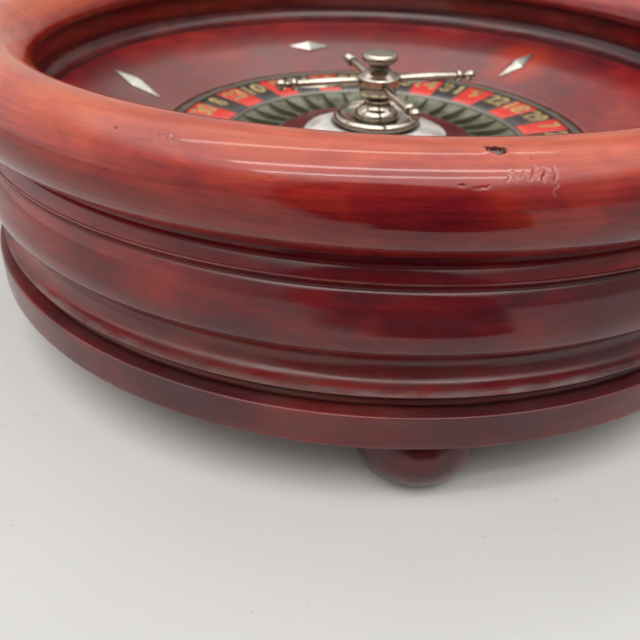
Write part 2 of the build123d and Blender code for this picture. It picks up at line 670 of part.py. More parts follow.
with BuildPart() as turret_column:
    with BuildSketch(SECTION):
        with BuildLine():
            column_foot = (14.0, COLUMN_Z + 0.02)
            Polyline((0, 70.4), (11.0, 70.4), (11.0, COLUMN_Z + 0.02), column_foot)
            Spline(column_foot, (14.3, 71.6), (12.9, 74.8), (9.6, 77.4), (8.4, 79.6),
                   (9.3, TURRET_HUB_Z), tangents=[(0.4, 1), (0.6, 1)])
            Polyline((9.3, TURRET_HUB_Z), (0, TURRET_HUB_Z), (0, 70.4))
        make_face()
    revolve(axis=Axis.Z)
    with BuildSketch(level(TURRET_HOLE_Z)):
        Circle(TURRET_HOLE_R)
    extrude(amount=TURRET_HUB_Z - TURRET_HOLE_Z, mode=Mode.SUBTRACT)
save(turret_column, "turret_column")

ARM_AZ = -20.3
ARM_Z = (91.2, 93.4)    # the two crossing pairs of arms sit one above the other
# outward direction and height of each arm
arm_places = [(*polar(ARM_AZ + i * 90, 1), ARM_Z[i % 2]) for i in range(4)]

with BuildPart() as turret_hub:
    with BuildSketch(SECTION):
        with BuildLine():
            Line((0, TURRET_HUB_Z), (9.2, TURRET_HUB_Z))
            Spline((9.2, TURRET_HUB_Z), (11.4, 85.6), (13.0, 89.8), (13.3, 95.2),
                   tangents=[(0.9, 1), (0, 1)])
            Line((13.3, 95.2), (12.9, 96.0))
            Spline((12.9, 96.0), (9.2, 98.4), (6.4, KNOB_Z), tangents=[(-1, 0.45), (-0.5, 1)])
            Polyline((6.4, KNOB_Z), (0, KNOB_Z), (0, TURRET_HUB_Z))
        make_face()
    revolve(axis=Axis.Z)
    with BuildSketch(level(TURRET_HUB_Z)):
        Circle(TURRET_HOLE_R)
    extrude(amount=KNOB_Z - TURRET_HUB_Z, mode=Mode.SUBTRACT)
    for out_x, out_y, height in arm_places:
        with BuildSketch(Plane((out_x * 5.0, out_y * 5.0, FOOT_H + height), x_dir=(0, 0, 1),
                               z_dir=(out_x, out_y, 0))):
            Circle(1.55)
        extrude(amount=12.0, mode=Mode.SUBTRACT)
save(turret_hub, "turret_hub")

ARM_START = 6.0         # distance from the axis to the arm's inner end
ARM_BALL_AT = 63.1      # distance from the axis to the centre of the end ball
ARM_BALL_R = 3.5
ARM_NECK_R = 2.0        # neck that meets the ball
ARM_NECK_END = (ARM_BALL_AT - sqrt(ARM_BALL_R**2 - ARM_NECK_R**2), ARM_NECK_R)


def save_arm(name, out_x, out_y, height):
    origin = (0, 0, FOOT_H + height)
    with BuildPart() as arm:
        # sketch x runs out along the arm, sketch y is the radius off its centre line
        with BuildSketch(Plane(origin, x_dir=(out_x, out_y, 0), z_dir=(out_y, -out_x, 0))):
            with BuildLine():
                Polyline((ARM_START, 0), (ARM_START, 1.5), (13.42, 1.5), (13.42, 2.5))
                Spline((13.42, 2.5), (30.0, 2.95), (45.0, 2.7), (53.4, 2.25),
                       tangents=[(1, 0.06), (1, -0.08)])
                Line((53.4, 2.25), (53.4, 3.0))
                ThreePointArc((53.4, 3.0), (55.1, 3.8), (56.8, 3.0))
                Line((56.8, 3.0), (57.4, ARM_NECK_R))
                Line((57.4, ARM_NECK_R), ARM_NECK_END)
                ThreePointArc(ARM_NECK_END, (ARM_BALL_AT, ARM_BALL_R),
                              (ARM_BALL_AT + ARM_BALL_R, 0))
                Line((ARM_BALL_AT + ARM_BALL_R, 0), (ARM_START, 0))
            make_face()
        revolve(axis=Axis(origin, (out_x, out_y, 0)))
    save(arm, name)


for i, place in enumerate(arm_places):
    save_arm("turret_arm_" + str(i + 1), *place)

# knob with a shallow spherical dish in its top
DISH_R, DISH_Z, DISH_DEPTH = 8.9, 108.9, 1.2    # edge radius, bottom, depth
DISH_EDGE = (DISH_R, DISH_Z + DISH_DEPTH)
DISH_SPHERE_R = (DISH_R**2 + DISH_DEPTH**2) / (2 * DISH_DEPTH)
DISH_MID_R = 4.5                                # radius of the arc's middle point

with BuildPart() as turret_knob:
    with BuildSketch(SECTION):
        with BuildLine():
            dish_mid_z = DISH_Z + DISH_SPHERE_R - sqrt(DISH_SPHERE_R**2 - DISH_MID_R**2)
            Line((0, KNOB_Z), (6.2, KNOB_Z))
            Spline((6.2, KNOB_Z), (5.8, 102.1), (6.0, 103.3), tangents=[(-0.5, 1), (0.5, 1)])
            Spline((6.0, 103.3), (9.0, 104.3), (11.3, 106.9), tangents=[(1, 0.1), (0, 1)])
            ThreePointArc((11.3, 106.9), (10.5, 109.2), DISH_EDGE)
            ThreePointArc(DISH_EDGE, (DISH_MID_R, dish_mid_z), (0, DISH_Z))
            Line((0, DISH_Z), (0, KNOB_Z))
        make_face()
    revolve(axis=Axis.Z)
    with BuildSketch(level(KNOB_Z)):
        Circle(TURRET_HOLE_R)
    extrude(amount=5.7, mode=Mode.SUBTRACT)
save(turret_knob, "turret_knob")

save_bars("turret_stud", [(0, 0)], TURRET_STUD_R, TURRET_HOLE_Z + 0.5, 32.5, bevel=0.5)
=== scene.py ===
import math
import random

import bmesh
import bpy
from mathutils import Matrix, Vector, noise


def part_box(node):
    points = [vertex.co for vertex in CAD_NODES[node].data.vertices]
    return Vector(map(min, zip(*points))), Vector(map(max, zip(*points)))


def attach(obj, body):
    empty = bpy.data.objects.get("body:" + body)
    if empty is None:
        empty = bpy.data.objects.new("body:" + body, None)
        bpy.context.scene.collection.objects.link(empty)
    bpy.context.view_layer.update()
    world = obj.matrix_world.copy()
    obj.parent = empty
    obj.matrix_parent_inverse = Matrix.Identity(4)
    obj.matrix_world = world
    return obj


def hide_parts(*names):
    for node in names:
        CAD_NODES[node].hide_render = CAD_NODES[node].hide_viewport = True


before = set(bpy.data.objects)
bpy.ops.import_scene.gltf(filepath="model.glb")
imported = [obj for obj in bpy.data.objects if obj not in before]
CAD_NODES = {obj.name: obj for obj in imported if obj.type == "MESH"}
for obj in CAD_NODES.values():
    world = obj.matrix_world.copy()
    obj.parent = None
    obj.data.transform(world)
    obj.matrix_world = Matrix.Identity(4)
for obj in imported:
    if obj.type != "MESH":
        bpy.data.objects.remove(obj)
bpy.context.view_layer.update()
SCENE = bpy.context.scene
MM = 0.001
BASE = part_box("plinth_ring")[0].z / MM  # underside of the plinth above the table


# ======================================================================================
# shader graph helpers
# ======================================================================================
class Value:
    """A shader socket in arithmetic: every operator adds a Math node."""

    def __init__(self, graph, socket):
        self.graph = graph
        self.socket = socket

    def __add__(self, other):
        return self.graph.math("ADD", self, other)

    def __sub__(self, other):
        return self.graph.math("SUBTRACT", self, other)

    def __rsub__(self, other):
        return self.graph.math("SUBTRACT", other, self)

    def __mul__(self, other):
        return self.graph.math("MULTIPLY", self, other)

    def __truediv__(self, other):
        return self.graph.math("DIVIDE", self, other)

    def __pow__(self, other):
        return self.graph.math("POWER", self, other)

    def __abs__(self):
        return self.graph.math("ABSOLUTE", self)


class Graph:
    """The node tree of a material or world. third_input fills the spare Math socket."""

    def __init__(self, owner, third_input=0.0):
        owner.use_nodes = True
        self.owner = owner
        self.tree = owner.node_tree
        self.tree.nodes.clear()
        self.third_input = third_input

    def feed(self, node, key, value):
        if isinstance(value, Value):
            self.tree.links.new(value.socket, node.inputs[key])
        else:
            node.inputs[key].default_value = value

    def node(self, kind, inputs=None, **settings):
        node = self.tree.nodes.new(kind)
        for key, value in settings.items():
            setattr(node, key, value)
        for key, value in (inputs or {}).items():
            self.feed(node, key, value)
        return node

    def value(self, kind, inputs=None, output=0, **settings):
        return Value(self, self.node(kind, inputs, **settings).outputs[output])

    def math(self, operation, a, b=0.0, clamp=False):
        inputs = {0: a, 1: b}
        if self.third_input is not None:
            inputs[2] = self.third_input
        return self.value("ShaderNodeMath", inputs, operation=operation, use_clamp=clamp)

    def mix(self, factor, a, b, blend="MIX"):
        a, b = (v if isinstance(v, Value) else (*v, 1.0) for v in (a, b))
        return self.value("ShaderNodeMix", {"Factor": factor, 6: a, 7: b}, output=2,
                          data_type="RGBA", blend_type=blend, clamp_factor=True)

    def multiply(self, a, b, factor=1.0):
        return self.mix(factor, a, b, "MULTIPLY")

    def ramp(self, factor, stops, interpolation="LINEAR"):
        """stops: (position, grey or RGB)."""
        node = self.node("ShaderNodeValToRGB", {"Fac": factor})
        node.color_ramp.interpolation = interpolation
        elements = node.color_ramp.elements
        while len(elements) < len(stops):
            elements.new(0.5)
        for element, (position, color) in zip(elements, stops):
            element.position = position
            rgb = color if isinstance(color, tuple) else (color, color, color)
            element.color = (*rgb, 1.0)
        return Value(self, node.outputs["Color"])

    def attribute(self, name):
        return self.value("ShaderNodeAttribute", output="Fac", attribute_name=name)

    def noise(self, vector, w=None, *, scale, detail=4.0, rough=0.55, distortion=0.0):
        """Noise in 3D, or in 4D where w is given."""
        inputs = {"Vector": vector, "Scale": scale, "Detail": detail, "Roughness": rough,
                  "Distortion": distortion}
        if w is not None:
            inputs["W"] = w
        return self.value("ShaderNodeTexNoise", inputs, output="Fac",
                          noise_dimensions="3D" if w is None else "4D")

    def vector(self, x, y, z):
        return self.value("ShaderNodeCombineXYZ", {0: x, 1: y, 2: z})

    def split(self, vector):
        node = self.node("ShaderNodeSeparateXYZ", {0: vector})
        return [Value(self, output) for output in node.outputs]

    def coordinates(self, kind="Object"):
        return self.value("ShaderNodeTexCoord", output=kind)

    def polar(self):
        """Stores the cosine, sine, height and radius of the shaded point about the z axis."""
        x, y, self.z = self.split(self.coordinates())
        self.radius = self.math("SQRT", x * x + y * y)
        safe_radius = self.math("MAXIMUM", self.radius, 1e-5)
        self.cos = x / safe_radius
        self.sin = y / safe_radius

    def turned(self, around, across, shift=None):
        """4D noise coordinates, stretched round the axis: (vector, w)."""
        w = self.radius * across
        if shift is not None:
            w = w + shift
        return self.vector(self.cos * around, self.sin * around, self.z * across), w

    def bump(self, height, strength, distance):
        inputs = {"Height": height, "Strength": strength, "Distance": distance}
        return self.value("ShaderNodeBump", inputs)

    def output(self, shader, kind="ShaderNodeOutputMaterial"):
        self.node(kind, {0: shader})
        return self.owner

    def principled(self, **inputs):
        inputs = {key.replace("_", " "): value for key, value in inputs.items()}
        return self.output(self.value("ShaderNodeBsdfPrincipled", inputs))


def material_graph(name):
    return Graph(bpy.data.materials.new(name))


def linear(*rgb):
    """An 8-bit display colour as scene-linear."""
    return tuple(c / 255 / 12.92 if c / 255 <= 0.04045 else ((c / 255 + 0.055) / 1.055) ** 2.4
                 for c in rgb)


# ======================================================================================
# materials
# ======================================================================================
STAIN = [(0.30, (0.100, 0.0050, 0.0095)), (0.42, (0.185, 0.0070, 0.0125)),
         (0.52, (0.290, 0.0125, 0.0150)), (0.62, (0.410, 0.0300, 0.0170)),
         (0.78, (0.520, 0.0700, 0.0230))]
TOP_LIGHT_STAIN = [(0.34, (0.290, 0.036, 0.028)), (0.50, (0.420, 0.080, 0.042)),
                  (0.64, (0.520, 0.125, 0.054))]
DULL_STAIN = [(0.38, (0.058, 0.0230, 0.0275)), (0.60, (0.125, 0.0470, 0.0340))]
WORN_WOOD = (0.27, 0.110, 0.095)
DIRT_AND_SHADE = (0.012, 0.0065, 0.0062)
SCUFF_GREY = (0.235, 0.200, 0.195)
SPECK = (0.30, 0.12, 0.09)
BLOOM_GREY = (0.215, 0.100, 0.092)
RED_PATCH = (0.50, 0.050, 0.022)
GRIME_AND_SHADE = 1.0  # strength of the dirt and painted shade in the grooves


def bleach(wood, color, tone, fine, facing_up, top_light):
    """Painted light: a lighter stain where the wood faces up, more so on the left."""
    amount = wood.ramp(facing_up, [(0.38, 0.0), (0.70, 0.40), (0.98, 1.0)])
    amount = amount * (0.90 - wood.cos * 0.45)
    color = wood.mix(amount * top_light, color, wood.ramp(tone, TOP_LIGHT_STAIN))
    return wood.multiply(color, wood.ramp(fine, [(0.36, 0.92), (0.64, 1.05)]))


def cloud_over(wood, color, cloud, mottling, bloom):
    """A grey bloom towards the axis, and a round redder patch at the back right."""
    inward = wood.ramp(wood.radius, [(0.150, 0.95), (0.180, 0.80), (0.193, 0.25), (0.200, 0.10)])
    amount = inward * wood.ramp(cloud, [(0.30, bloom), (0.70, bloom * 0.45)])
    amount = amount * (0.85 - wood.cos * 0.35)
    color = wood.mix(amount, color, BLOOM_GREY)
    patch_x, patch_y, patch_radius = 0.108, 0.132, 0.030  # metres
    x = wood.cos * wood.radius
    y = wood.sin * wood.radius
    reach = ((x - patch_x) / patch_radius) ** 2.0 + ((y - patch_y) / patch_radius) ** 2.0
    reach = reach + (mottling - 0.5) * 1.6
    return wood.mix(wood.ramp(reach, [(0.15, 0.75), (1.1, 0.0)]), color, RED_PATCH)


def mahogany(name, *, light, red, seed, side=0.035, coat_rough=0.05, haze=0.25, mottle=1.0,
             top_light=0.0, low=0.55, bloom=0.0):
    """Stained mahogany under a gloss lacquer, with the grain running round the turned ring.

    light: brightness. red: shift of the stain, 0 dark to 1 bright. side: painted light, how much
    lighter the left is. haze: dull lacquer. mottle: share of fine clouds in the stain. top_light:
    painted light, a lighter stain on upward faces. low: painted shade, the brightness of upright
    faces. bloom: grey film towards the axis.
    """
    wood = material_graph(name)
    wood.polar()
    position = wood.vector(wood.cos * wood.radius, wood.sin * wood.radius, wood.z)
    grain = wood.turned(around=7.0, across=640.0, shift=seed)
    fine = wood.noise(*grain, scale=1.0, detail=5.0, rough=0.60)
    pores = wood.noise(*grain, scale=3.3, detail=2.0, rough=0.5)
    # cloudy stain, 5 to 12 mm across, over a broad change from red to brown
    mottling = wood.noise(*wood.turned(around=8.0, across=85.0, shift=seed + 3.0), scale=1.0,
                          detail=4.0, rough=0.58, distortion=0.9)
    cloud = wood.noise(position, seed + 9.0, scale=15.0, detail=3.0, rough=0.5)
    tone = mottling * (0.42 * mottle) + cloud * (1.0 - 0.42 * mottle)
    tone = tone + (red - 0.5) * 0.5
    # painted light: the stain is lighter on the left
    tone = tone - wood.cos * side
    color = wood.ramp(tone, STAIN)
    color = wood.multiply(color, wood.ramp(fine, [(0.34, 0.80), (0.50, 1.0), (0.68, 1.15)]))
    color = wood.multiply(color, wood.ramp(pores, [(0.60, 1.0), (0.72, 0.62)]), factor=0.4)

    facing_up = wood.split(wood.value("ShaderNodeNewGeometry", output="Normal"))[2]
    # painted light: upward faces get a lighter stain, more so on the left
    if top_light:
        color = bleach(wood, color, tone, fine, facing_up, top_light)
    if bloom:
        color = cloud_over(wood, color, cloud, mottling, bloom)
    # painted shade: upright faces darker than those that face up
    shade = wood.ramp(facing_up, [(0.0, low), (0.80, 1.0)])
    color = wood.multiply(color, wood.vector(shade * light, shade * light, shade * light))

    # worn lacquer on the crisp edges, dirt and painted shade in the grooves, grey scuffs where
    # they are marked
    patch = wood.noise(position, seed + 1.0, scale=60.0, detail=4.0, rough=0.6)
    streaks = wood.noise(*grain, scale=1.7, detail=4.0, rough=0.65)
    wear = wood.attribute("edge") * wood.ramp(patch, [(0.36, 0.25), (0.64, 0.9)])
    color = wood.mix(wear, color, WORN_WOOD)
    # the groove marks darken the colour: dirt together with painted shade in hollows, under
    # overhangs and where parts meet
    dirt_and_shade = wood.attribute("groove") * wood.ramp(patch, [(0.30, 1.0), (0.75, 0.7)])
    dirt_and_shade = dirt_and_shade * GRIME_AND_SHADE
    color = wood.mix(dirt_and_shade, color, DIRT_AND_SHADE)
    broken = patch * 0.5 + streaks * 0.5
    scuff = wood.attribute("scuff") * wood.ramp(broken, [(0.40, 0.15), (0.58, 0.95)])
    color = wood.mix(scuff, color, SCUFF_GREY)

    # brown-grey haze where the lacquer has gone dull, and fine specks
    dull = wood.noise(*wood.turned(around=9.0, across=90.0, shift=seed + 7.0), scale=1.0,
                      detail=5.0, rough=0.60)
    dull = wood.ramp(dull, [(0.36, 0.15), (0.52, 0.50), (0.74, 1.0)]) * haze
    color = wood.mix(dull, color, wood.ramp(tone, DULL_STAIN))
    specks = wood.noise(position, scale=820.0, detail=2.0, rough=0.5)
    color = wood.mix(wood.ramp(specks, [(0.735, 0.0), (0.765, 1.0)]) * 0.22, color, SPECK)

    # lacquer: orange peel over slow waves, smeared, and thin over scuffs and over the grooves'
    # dirt and painted shade
    peel = wood.noise(position, scale=190.0, detail=2.0, rough=0.5)
    waves = wood.noise(position, scale=30.0, detail=2.0, rough=0.5)
    smear = wood.noise(position, seed + 5.0, scale=22.0, detail=4.0, rough=0.6)
    smear = wood.ramp(smear, [(0.35, coat_rough * 0.7), (0.70, coat_rough * 1.5)])
    return wood.principled(
        Base_Color=color,
        Roughness=0.6,
        Normal=wood.bump(fine, strength=0.14, distance=0.0004),
        Coat_Weight=1.0 - wood.math("ADD", scuff * 0.5, dirt_and_shade * 0.65, clamp=True),
        Coat_Roughness=smear + (dirt_and_shade * 0.22 + (scuff * 0.35 + dull * 0.12)),
        Coat_IOR=1.52,
        Coat_Normal=wood.bump(peel * 0.16 + waves * 1.0, strength=0.09, distance=0.0011),
        Specular_IOR_Level=0.0)


def metal(name, color, tarnish, *, rough, seed, dark=0.35, brushed=0.0, turned=True,
          bright_edges=False):
    """Polished metal with tarnish in patches, fine marks, and soot with painted shade in the
    groove marks.

    dark: strength of the tarnish. brushed: strength of the marks. turned: marks run round
    the axis. bright_edges: lighter colour on the edge marks.
    """
    graph = material_graph(name)
    position = graph.coordinates()
    patches = graph.noise(position, seed, scale=70.0, detail=4.0, rough=0.6)
    grit = graph.noise(position, seed + 2, scale=600.0, detail=3.0, rough=0.6)
    tarnished = graph.ramp(patches, [(0.42, 0.0), (0.72, 1.0)]) * dark
    color = graph.mix(tarnished, color, tarnish)
    # the groove marks darken the metal: soot together with painted shade in hollows and where
    # parts meet
    soot_and_shade = tuple(c * 0.14 for c in tarnish)
    color = graph.mix(graph.attribute("groove") * 0.9, color, soot_and_shade)
    if bright_edges:
        color = graph.mix(graph.attribute("edge") * 0.85, color, (0.86, 0.82, 0.72))
    marks = grit
    if turned:
        graph.polar()
        marks = graph.noise(*graph.turned(around=2.0, across=2600.0), scale=1.0, detail=2.0,
                            rough=0.5)
    roughness = graph.ramp(patches, [(0.35, rough * 0.7), (0.75, rough * 1.8)])
    normal = graph.bump(marks * 0.6 + grit * 0.25, strength=0.10 + brushed, distance=0.00025)
    return graph.principled(Base_Color=color, Metallic=1.0, Roughness=roughness + marks * brushed,
                            Normal=normal)


def enamel(name, color, variation, *, seed, rough=0.22):
    """Glossy enamel, cloudy between two colours, with darker specks."""
    graph = material_graph(name)
    position = graph.coordinates()
    clouds = graph.noise(position, seed, scale=130.0, detail=4.0, rough=0.6)
    grit = graph.noise(position, seed + 1, scale=900.0, detail=3.0, rough=0.6)
    speck = tuple(min(1, c * 0.4 + 0.02) for c in color)
    shade = graph.mix(graph.ramp(clouds, [(0.35, 0.0), (0.70, 1.0)]), color, variation)
    shade = graph.mix(graph.ramp(grit, [(0.62, 0.0), (0.72, 1.0)]) * 0.35, shade, speck)
    return graph.principled(
        Base_Color=shade,
        Roughness=graph.ramp(clouds, [(0.3, rough * 0.8), (0.7, rough * 1.5)]),
        Normal=graph.bump(clouds * 0.7 + grit * 0.2, strength=0.15, distance=0.0004),
        Coat_Weight=0.8,
        Coat_Roughness=0.09)


def plywood(name):
    """Bare plywood with the grain along x."""
    graph = material_graph(name)
    x, y, z = graph.split(graph.coordinates())
    fibres = graph.noise(graph.vector(x * 14.0, y * 420.0, z * 900.0), scale=1.0, detail=5.0,
                         rough=0.6)
    figure = graph.noise(graph.vector(x * 3.0, y * 24.0, z), scale=1.0, detail=4.0, rough=0.6,
                         distortion=1.2)
    color = graph.ramp(fibres * 0.45 + figure * 0.55,
                       [(0.3, linear(96, 56, 34)), (0.5, linear(138, 88, 52)),
                        (0.72, linear(168, 116, 74))])
    return graph.principled(Base_Color=color, Roughness=0.72,
                            Normal=graph.bump(fibres, strength=0.3, distance=0.0006))


def felt(name, color):
    graph = material_graph(name)
    position = graph.coordinates()
    fibres = graph.noise(position, scale=2600.0, detail=4.0, rough=0.7, distortion=1.5)
    clouds = graph.noise(position, scale=240.0, detail=3.0, rough=0.6)
    dark, pale, bright = (tuple(c * gain for c in color) for gain in (0.6, 1.5, 2.0))
    shade = graph.mix(graph.ramp(fibres, [(0.3, 0.0), (0.75, 1.0)]), dark, pale)
    shade = graph.mix(clouds * 0.4, shade, bright)
    return graph.principled(Base_Color=shade, Roughness=0.95,
                            Normal=graph.bump(fibres, strength=0.7, distance=0.0006),
                            Sheen_Weight=0.5, Sheen_Roughness=0.4)


MATERIALS = {
    "rim": mahogany("mahogany_rim", light=0.97, red=0.62, seed=0.0, side=0.055,
                    coat_rough=0.09, haze=0.08, mottle=0.95, top_light=0.80, low=0.54),
    "upper": mahogany("mahogany_neck", light=1.0, red=0.40, seed=11.0, side=0.08, haze=0.35,
                      coat_rough=0.10, mottle=0.7, low=0.72),
    "middle": mahogany("mahogany_bead", light=0.88, red=0.39, seed=23.0, side=0.08, haze=0.55,
                       coat_rough=0.10, mottle=0.8, low=0.72),
    "lower": mahogany("mahogany_cove", light=0.80, red=0.41, seed=37.0, side=0.12,
                      coat_rough=0.14, haze=0.95, mottle=0.65, low=0.72),
    "plinth": mahogany("mahogany_plinth", light=0.74, red=0.38, seed=41.0, side=0.05,
                       coat_rough=0.22, haze=0.80, mottle=0.40, low=0.72),
    "foot": mahogany("mahogany_foot", light=0.55, red=0.34, seed=53.0, haze=0.5,
                     coat_rough=0.12),
    "track": mahogany("mahogany_track", light=0.50, red=0.34, seed=61.0, coat_rough=0.14,
                      haze=0.6),
    "apron": mahogany("mahogany_apron", light=0.80, red=0.42, seed=71.0, coat_rough=0.12,
                      haze=0.15, mottle=0.8, bloom=0.85, low=0.9),
    "cone": mahogany("mahogany_cone", light=0.60, red=0.34, seed=83.0, haze=0.9,
                     coat_rough=0.16, low=0.9),
    "rotor": mahogany("mahogany_wheelhead", light=0.7, red=0.4, seed=97.0),
    "nickel": metal("polished_nickel", (0.56, 0.505, 0.415), (0.24, 0.195, 0.145), rough=0.13,
                    seed=1.0, dark=0.60, bright_edges=True),
    "plate": metal("plated_cone", (0.90, 0.89, 0.86), (0.66, 0.63, 0.58), rough=0.40, seed=4.0,
                   brushed=0.06, dark=0.2),
    "trim": metal("trim_ring_metal", (0.21, 0.18, 0.145), (0.13, 0.105, 0.08), rough=0.42,
                  seed=6.0, brushed=0.05),
    "trim_in": metal("inner_ring_metal", (0.34, 0.325, 0.285), (0.20, 0.19, 0.16), rough=0.32,
                     seed=7.0, brushed=0.05),
    "diamond": metal("deflector_nickel", (0.36, 0.345, 0.31), (0.13, 0.12, 0.10), rough=0.30,
                     turned=False, seed=8.0, dark=0.8),
    "pewter": metal("dark_pewter", (0.235, 0.235, 0.185), (0.120, 0.130, 0.060), rough=0.55,
                    seed=9.0, dark=0.9, brushed=0.10),
    "fret": metal("fret_metal", (0.200, 0.202, 0.155), (0.140, 0.145, 0.095), rough=0.52,
                  turned=False, seed=12.0, brushed=0.05),
    "steel": metal("zinc_steel", (0.62, 0.62, 0.60), (0.42, 0.40, 0.36), rough=0.30,
                   turned=False, seed=14.0, brushed=0.1),
    "bearing": metal("bearing_steel", (0.66, 0.67, 0.68), (0.46, 0.46, 0.45), rough=0.16,
                     seed=15.0),
    "brass": metal("turned_brass", (0.80, 0.60, 0.28), (0.48, 0.34, 0.14), rough=0.22,
                   seed=16.0, brushed=0.1),
    "red": enamel("red_enamel", (0.70, 0.052, 0.034), (0.58, 0.034, 0.026), seed=2.0),
    "black": enamel("black_enamel", (0.030, 0.036, 0.034), (0.044, 0.052, 0.049), seed=3.0),
    "green": enamel("green_enamel", linear(20, 92, 52), linear(14, 70, 38), seed=4.0),
    "gold": metal("gold_numerals", (0.86, 0.66, 0.32), (0.62, 0.45, 0.20), rough=0.34,
                  turned=False, seed=18.0, dark=0.6),
    "plywood": plywood("birch_plywood"),
    "felt": felt("green_felt", linear(34, 58, 42)),
}


# ======================================================================================
# mesh helpers
# ======================================================================================
def add_object(name, data):
    obj = bpy.data.objects.new(name, data)
    SCENE.collection.objects.link(obj)
    return obj


def new_piece(name, mesh, look, body, stands_for=None):
    obj = add_object(name, mesh)
    mesh.materials.append(MATERIALS[look])
    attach(obj, body)
    if stands_for:
        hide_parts(stands_for)
    return obj


def to_mesh(bm, name, sharp_angle=None):
    """Turns bm into a mesh, shaded smooth below sharp_angle degrees where that is given."""
    mesh = bpy.data.meshes.new(name)
    bm.to_mesh(mesh)
    bm.free()
    if sharp_angle is not None:
        for polygon in mesh.polygons:
            polygon.use_smooth = True
        mesh.set_sharp_from_angle(angle=math.radians(sharp_angle))
    return mesh


def arc(centre, radius, start, end, steps):
    """Points on a circle, from angle start to end in degrees."""
    angles = [math.radians(start + (end - start) * i / steps) for i in range(steps + 1)]
    return [(centre[0] + radius * math.cos(a), centre[1] + radius * math.sin(a)) for a in angles]


def hermite(start, end, start_dir, end_dir, steps):
    """A curve from start to end that leaves and arrives along the given directions."""
    span = math.dist(start, end)
    start_length, end_length = math.hypot(*start_dir), math.hypot(*end_dir)
    start_dir = [c / start_length * span for c in start_dir]
    end_dir = [c / end_length * span for c in end_dir]
    out = []
    for i in range(steps + 1):
        s = i / steps
        weights = (2 * s**3 - 3 * s**2 + 1, s**3 - 2 * s**2 + s, -2 * s**3 + 3 * s**2, s**3 - s**2)
        out.append(tuple(weights[0] * start[j] + weights[1] * start_dir[j] + weights[2] * end[j]
                         + weights[3] * end_dir[j] for j in (0, 1)))
    return out


def through(points, start_dir, end_dir, steps):
    """A smooth curve through points, with steps pieces between each pair."""
    directions = [start_dir]
    for a, b, c in zip(points, points[1:], points[2:]):
        before, after = math.dist(a, b), math.dist(b, c)
        directions.append(tuple((b[j] - a[j]) / before * after + (c[j] - b[j]) / after * before
                                for j in (0, 1)))
    directions.append(end_dir)
    out = [points[0]]
    for i in range(len(points) - 1):
        out += hermite(points[i], points[i + 1], directions[i], directions[i + 1], steps)[1:]
    return out


def rounded(points, radii, steps):
    """A closed polygon with its listed corners rounded: radii is {index: radius}."""
    out = []
    for i, corner in enumerate(points):
        radius = radii.get(i, 0)
        if not radius:
            out.append(corner)
            continue
        sides = []
        for other in (points[i - 1], points[(i + 1) % len(points)]):
            length = math.dist(other, corner)
            unit = ((other[0] - corner[0]) / length, (other[1] - corner[1]) / length)
            sides.append((length, unit))
        (length_a, unit_a), (length_b, unit_b) = sides
        cosine = max(-1, min(1, unit_a[0] * unit_b[0] + unit_a[1] * unit_b[1]))
        half = math.acos(cosine) / 2
        if half > math.pi / 2 - 0.03:  # nearly straight
            out.append(corner)
            continue
        cut = min(radius / math.tan(half), 0.45 * length_a, 0.45 * length_b)
        radius = cut * math.tan(half)
        bisector = (unit_a[0] + unit_b[0], unit_a[1] + unit_b[1])
        length = math.hypot(*bisector)
        centre = [corner[j] + bisector[j] / length * radius / math.sin(half) for j in (0, 1)]
        start, end = (math.atan2(corner[1] + unit[1] * cut - centre[1],
                                 corner[0] + unit[0] * cut - centre[0])
                      for unit in (unit_a, unit_b))
        turn = (end - start + math.pi) % (2 * math.pi) - math.pi
        out += [(centre[0] + radius * math.cos(start + turn * j / steps),
                 centre[1] + radius * math.sin(start + turn * j / steps))
                for j in range(steps + 1)]
    return out


def resample(points, step):
    """Divides the sides of a closed polygon into equal parts no longer than step."""
    out = []
    for i, a in enumerate(points):
        b = points[(i + 1) % len(points)]
        parts = max(1, math.ceil(math.dist(a, b) / step))
        out += [(a[0] + (b[0] - a[0]) * j / parts, a[1] + (b[1] - a[1]) * j / parts)
                for j in range(parts)]
    return out


def clean(points, tolerance=0.02):
    """Drops points that fall on the one before."""
    out = []
    for point in points:
        if not out or math.dist(point, out[-1]) > tolerance:
            out.append(point)
    if math.dist(out[0], out[-1]) <= tolerance:
        out.pop()
    return out


